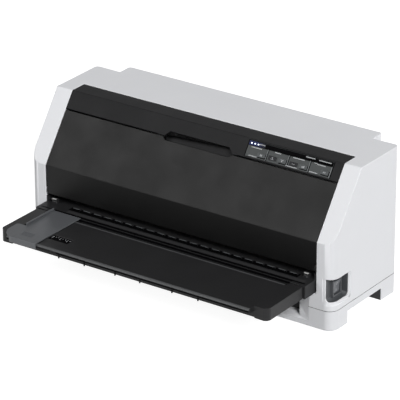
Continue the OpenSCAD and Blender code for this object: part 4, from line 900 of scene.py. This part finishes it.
class PRINTER_OT_frames(bpy.types.Operator):
    """Pressed steel frames, shafts and motors"""
    bl_idname = "printer.frames"
    bl_label = "Frames and motors"

    def execute(self, context):
        for node in ("base_pan", "left_side_frame", "right_side_frame", "cross_frames"):
            moulding(node, zinc_steel())
        for node in ("carriage_shaft", "tractor_rail", "tractor_shaft"):
            moulding(node, ground_steel())
        for node in ("carriage_motor", "feed_motor"):
            moulding(node, motor_can(), 0.5 * MM)
        # crimped rims of both motors, and the carriage motor's through screws
        low, high = case_box("carriage_motor")
        x, z = (low.x + high.x) / 2, (low.z + high.z) / 2
        rods("carriage_motor_rims", zinc_steel(), "carriage_motor",
             [(x, y, z, x, y + 0.9, z) for y in (low.y + 1.6, low.y + 25.4)], 19.2, 48, 0.2)
        corners = [(x + a, z + b) for a in (-10.5, 10.5) for b in (-10.5, 10.5)]
        rods("carriage_motor_screws", zinc_steel(), "carriage_motor",
             [(a, high.y - 3.4, b, a, high.y - 1.8, b) for a, b in corners], 1.8, 16, 0.3)
        low, high = case_box("feed_motor")
        y, z = (low.y + high.y) / 2, (low.z + high.z) / 2
        rods("feed_motor_rims", zinc_steel(), "feed_motor",
             [(x, y, z, x + 0.9, y, z) for x in (high.x - 26.1, high.x - 2.4)], 15.9, 48, 0.2)
        return {"FINISHED"}


class PRINTER_OT_rollers(bpy.types.Operator):
    """Paper bed, platen, feed shafts, tyres, pinch rollers and gears"""
    bl_idname = "printer.rollers"
    bl_label = "Rollers and gears"

    def execute(self, context):
        moulding("paper_bed", tray_abs(), 0.2 * MM)
        moulding("platen", roller_rubber(), 0.2 * MM)
        for node in ("front_feed_shaft", "rear_feed_shaft"):
            moulding(node, ground_steel())
        for node in ("front_feed_tyres", "rear_feed_tyres"):
            moulding(node, roller_rubber(), 0.3 * MM)
        for node in ("front_pinch_roller", "rear_pinch_roller", "roller_bushes", "feed_gear",
                     "motor_pinion", "tractor_idler"):
            moulding(node, acetal())
        return {"FINISHED"}


class PRINTER_OT_carriage(bpy.types.Operator):
    """Carriage, print head, ribbon mask, belt and pulleys"""
    bl_idname = "printer.carriage"
    bl_label = "Carriage"

    TOOTH_PITCH = 2    # of the timing belt

    def execute(self, context):
        moulding("carriage", carriage_nylon(), 0.5 * MM)
        moulding("print_head", head_alloy(), 0.2 * MM)
        moulding("ribbon_mask", zinc_steel())
        moulding("timing_belt", belt_neoprene())
        moulding("drive_pulley", nickel_shell())
        moulding("idler_pulley", acetal())
        # the head's socket with its contacts, and two screws
        low, high = case_box("print_head")
        x, y, top = (low.x + high.x) / 2, (low.y + high.y) / 2, high.z
        blocks("head_socket", acetal(), "print_head",
               [(x - 9.1, y + 2.9, 122.9, x + 9.1, y + 9.1, top)], 0.3)
        blocks("head_contacts", contact_gold(), "print_head",
               [(x - 7.2 + 1.3 * i, y + b, top - 0.2, x - 6.7 + 1.3 * i, y + b + 0.8, top)
                for i in range(12) for b in (4.2, 7)])
        rods("head_screws", nickel_shell(), "print_head",
             [(x + a, y - 6, 123.8, x + a, y - 6, 125.4) for a in (-7, 7)], 1.9, 16, 0.3)
        # teeth inside the belt, on both straight runs
        low, high = case_box("timing_belt")
        reach = (high.z - low.z) / 2
        start = low.x + reach
        count = int((high.x - low.x - 2 * reach) / self.TOOTH_PITCH)
        teeth = [start + self.TOOTH_PITCH * i for i in range(count)]
        blocks("belt_teeth", belt_neoprene(), "timing_belt",
               [(x, low.y + 0.2, z, x + 1, high.y - 0.2, z + 0.28)
                for x in teeth for z in (low.z + 1.18, high.z - 1.46)])
        return {"FINISHED"}


class PRINTER_OT_ribbon(bpy.types.Operator):
    """Ribbon cartridge and its knob"""
    bl_idname = "printer.ribbon"
    bl_label = "Ribbon"

    # The woven band is the part low down over the paper, between the cartridge's arms.
    BAND_TOP, BAND_END = 75, 165

    def execute(self, context):
        moulding("ribbon_cartridge", ribbon_styrene(), 0.5 * MM,
                 pick=lambda p: p.z > self.BAND_TOP, inlays=(ribbon_nylon(),),
                 inlaid=lambda p, normal: p.z < self.BAND_TOP and abs(p.x) < self.BAND_END)
        moulding("ribbon_knob", ribbon_styrene(), 0.3 * MM)
        # the welded lid, and a mark beside the knob
        low, high = case_box("ribbon_cartridge")
        blocks("cartridge_lid", ribbon_styrene(), "ribbon_cartridge",
               [(-166, low.y + 3, high.z - 0.2, 180, low.y + 16, high.z + 0.9)], 0.4)
        blocks("cartridge_arrow", ink(), "ribbon_cartridge",
               [(-172, low.y + 2.2, high.z - 0.1, -171, low.y + 8, high.z + 0.1),
                (-173.4, low.y + 7, high.z - 0.1, -169.6, low.y + 8, high.z + 0.1)])
        return {"FINISHED"}


class PRINTER_OT_tractors(bpy.types.Operator):
    """Tractor units, sprockets and flaps"""
    bl_idname = "printer.tractors"
    bl_label = "Tractors"

    def execute(self, context):
        for side in ("left", "right"):
            moulding(side + "_tractor", tractor_grey(), 0.3 * MM)
            moulding(side + "_sprocket", acetal())
            moulding(side + "_flap", tractor_grey(), 0.2 * MM)
        return {"FINISHED"}


class PRINTER_OT_boards(bpy.types.Operator):
    """Logic board and power board with their components"""
    bl_idname = "printer.boards"
    bl_label = "Circuit boards"

    TOP = 28.6         # of both boards
    GROWN = 0.1        # how much larger a component is drawn than the CAD block under it
    LEG_PITCH, PIN_PITCH = 1.6, 2.5
    # Components of the logic board: x, y, width, depth, height.
    CHIPS = ((-160, 90, 26, 26, 3), (-120, 88, 20, 20, 2.5), (-90, 96, 12, 26, 2.5),
             (-60, 84, 18, 12, 2.5))
    SOCKETS = ((-170, 66, 40, 6, 8), (-110, 66, 60, 6, 8), (-40, 66, 20, 6, 8))

    def body(self, component):
        """The block of one component."""
        x, y, wide, deep, high = component
        by, z = self.GROWN, self.TOP
        return (x - by, y - by, z - by, x + wide + by, y + deep + by, z + high + by)

    def execute(self, context):
        z = self.TOP
        moulding("logic_board", board_green())
        moulding("power_board", board_olive())
        blocks("chip_bodies", chip_epoxy(), "logic_board", [self.body(c) for c in self.CHIPS], 0.3)
        legs = []
        for x, y, wide, deep, _ in self.CHIPS:
            count = int((wide - 2) / self.LEG_PITCH) + 1
            legs += [(at, y - 1.3, z, at + 0.6, y + deep + 1.3, z + 0.5)
                     for at in (x + 1 + self.LEG_PITCH * i for i in range(count))]
        blocks("chip_legs", nickel_shell(), "logic_board", legs)
        blocks("board_sockets", acetal(), "logic_board", [self.body(c) for c in self.SOCKETS], 0.3)
        pins = []
        for x, y, wide, _, high in self.SOCKETS:
            count = int((wide - 2) / self.PIN_PITCH)
            pins += [(at, y + 2.6, z + high, at + 0.7, y + 3.4, z + high + 1.2)
                     for at in (x + 1.5 + self.PIN_PITCH * i for i in range(count))]
        blocks("socket_pins", contact_gold(), "logic_board", pins)
        rods("board_capacitors", sleeve_blue(), "logic_board",
             [(x, 110, z, x, 110, z + 11.1) for x in (-30, -22)], 3.5, 24, 0.4)
        rods("power_capacitors", sleeve_blue(), "power_board",
             [(x, 92, z, x, 92, z + 16.8) for x in (90, 114)], 9.6, 32, 0.8)
        rods("capacitor_tops", nickel_shell(), "power_board",
             [(x, 92, z + 16.6, x, 92, z + 17.0) for x in (90, 114)], 8.2, 32, 0.1)
        blocks("transformer_tape", tape_yellow(), "power_board",
               [(29.8, 77.9, z + 1, 72.2, 102.1, z + 17.2)], 0.6)
        blocks("transformer_core", carriage_nylon(), "power_board",
               [(29.9, 71.9, z, 72.1, 77.9, z + 17.1), (29.9, 102.1, z, 72.1, 108.1, z + 17.1)], 0.4)
        blocks("heat_sink", zinc_steel(), "power_board",
               [(133.9, 69.9, z, 137.05, 120.1, z + 14.1)], 0.2)
        blocks("power_transistors", chip_epoxy(), "power_board",
               [(136.9, y - 0.1, z, 141.6, y + 10.1, z + 13.1) for y in (76, 90, 104)], 0.3)
        rods("board_screws", nickel_shell(), "base_pan",
             [(x, y, z, x, y, z + 1.4) for x in (-182, -18, 22, 160) for y in (66, 136)], 2.6, 16, 0.4)
        return {"FINISHED"}


class PRINTER_PT_panel(bpy.types.Panel):
    """Lists what the printer is made of"""
    bl_idname = "PRINTER_PT_panel"
    bl_label = "Dot matrix printer"
    bl_space_type = "VIEW_3D"
    bl_region_type = "UI"
    bl_category = "Printer"

    def draw(self, context):
        column = self.layout.column(align=True)
        scene = context.scene
        for group in (scene.printer_case, scene.printer_panel, scene.printer_stage):
            for name in group.bl_rna.properties.keys():
                if name not in ("rna_type", "name"):
                    column.prop(group, name)
        for operator in STEPS:
            column.operator(operator.bl_idname)


GROUPS = (PrinterCaseSettings, PrinterPanelSettings, PrinterStageSettings)
STEPS = (PRINTER_OT_stage, PRINTER_OT_case, PRINTER_OT_cover, PRINTER_OT_band, PRINTER_OT_front,
         PRINTER_OT_switch, PRINTER_OT_connectors, PRINTER_OT_frames, PRINTER_OT_rollers,
         PRINTER_OT_carriage, PRINTER_OT_ribbon, PRINTER_OT_tractors, PRINTER_OT_boards)


def register():
    for cls in (*GROUPS, *STEPS, PRINTER_PT_panel):
        bpy.utils.register_class(cls)
    bpy.types.Scene.printer_case = PointerProperty(type=PrinterCaseSettings)
    bpy.types.Scene.printer_panel = PointerProperty(type=PrinterPanelSettings)
    bpy.types.Scene.printer_stage = PointerProperty(type=PrinterStageSettings)


def unregister():
    for name in ("printer_case", "printer_panel", "printer_stage"):
        delattr(bpy.types.Scene, name)
    for cls in reversed((*GROUPS, *STEPS, PRINTER_PT_panel)):
        bpy.utils.unregister_class(cls)


def main():
    register()
    bpy.context.scene.view_settings.view_transform = "Standard"
    for operator in STEPS:
        group, name = operator.bl_idname.split(".")
        getattr(getattr(bpy.ops, group), name)()


if __name__ == "__main__":
    main()
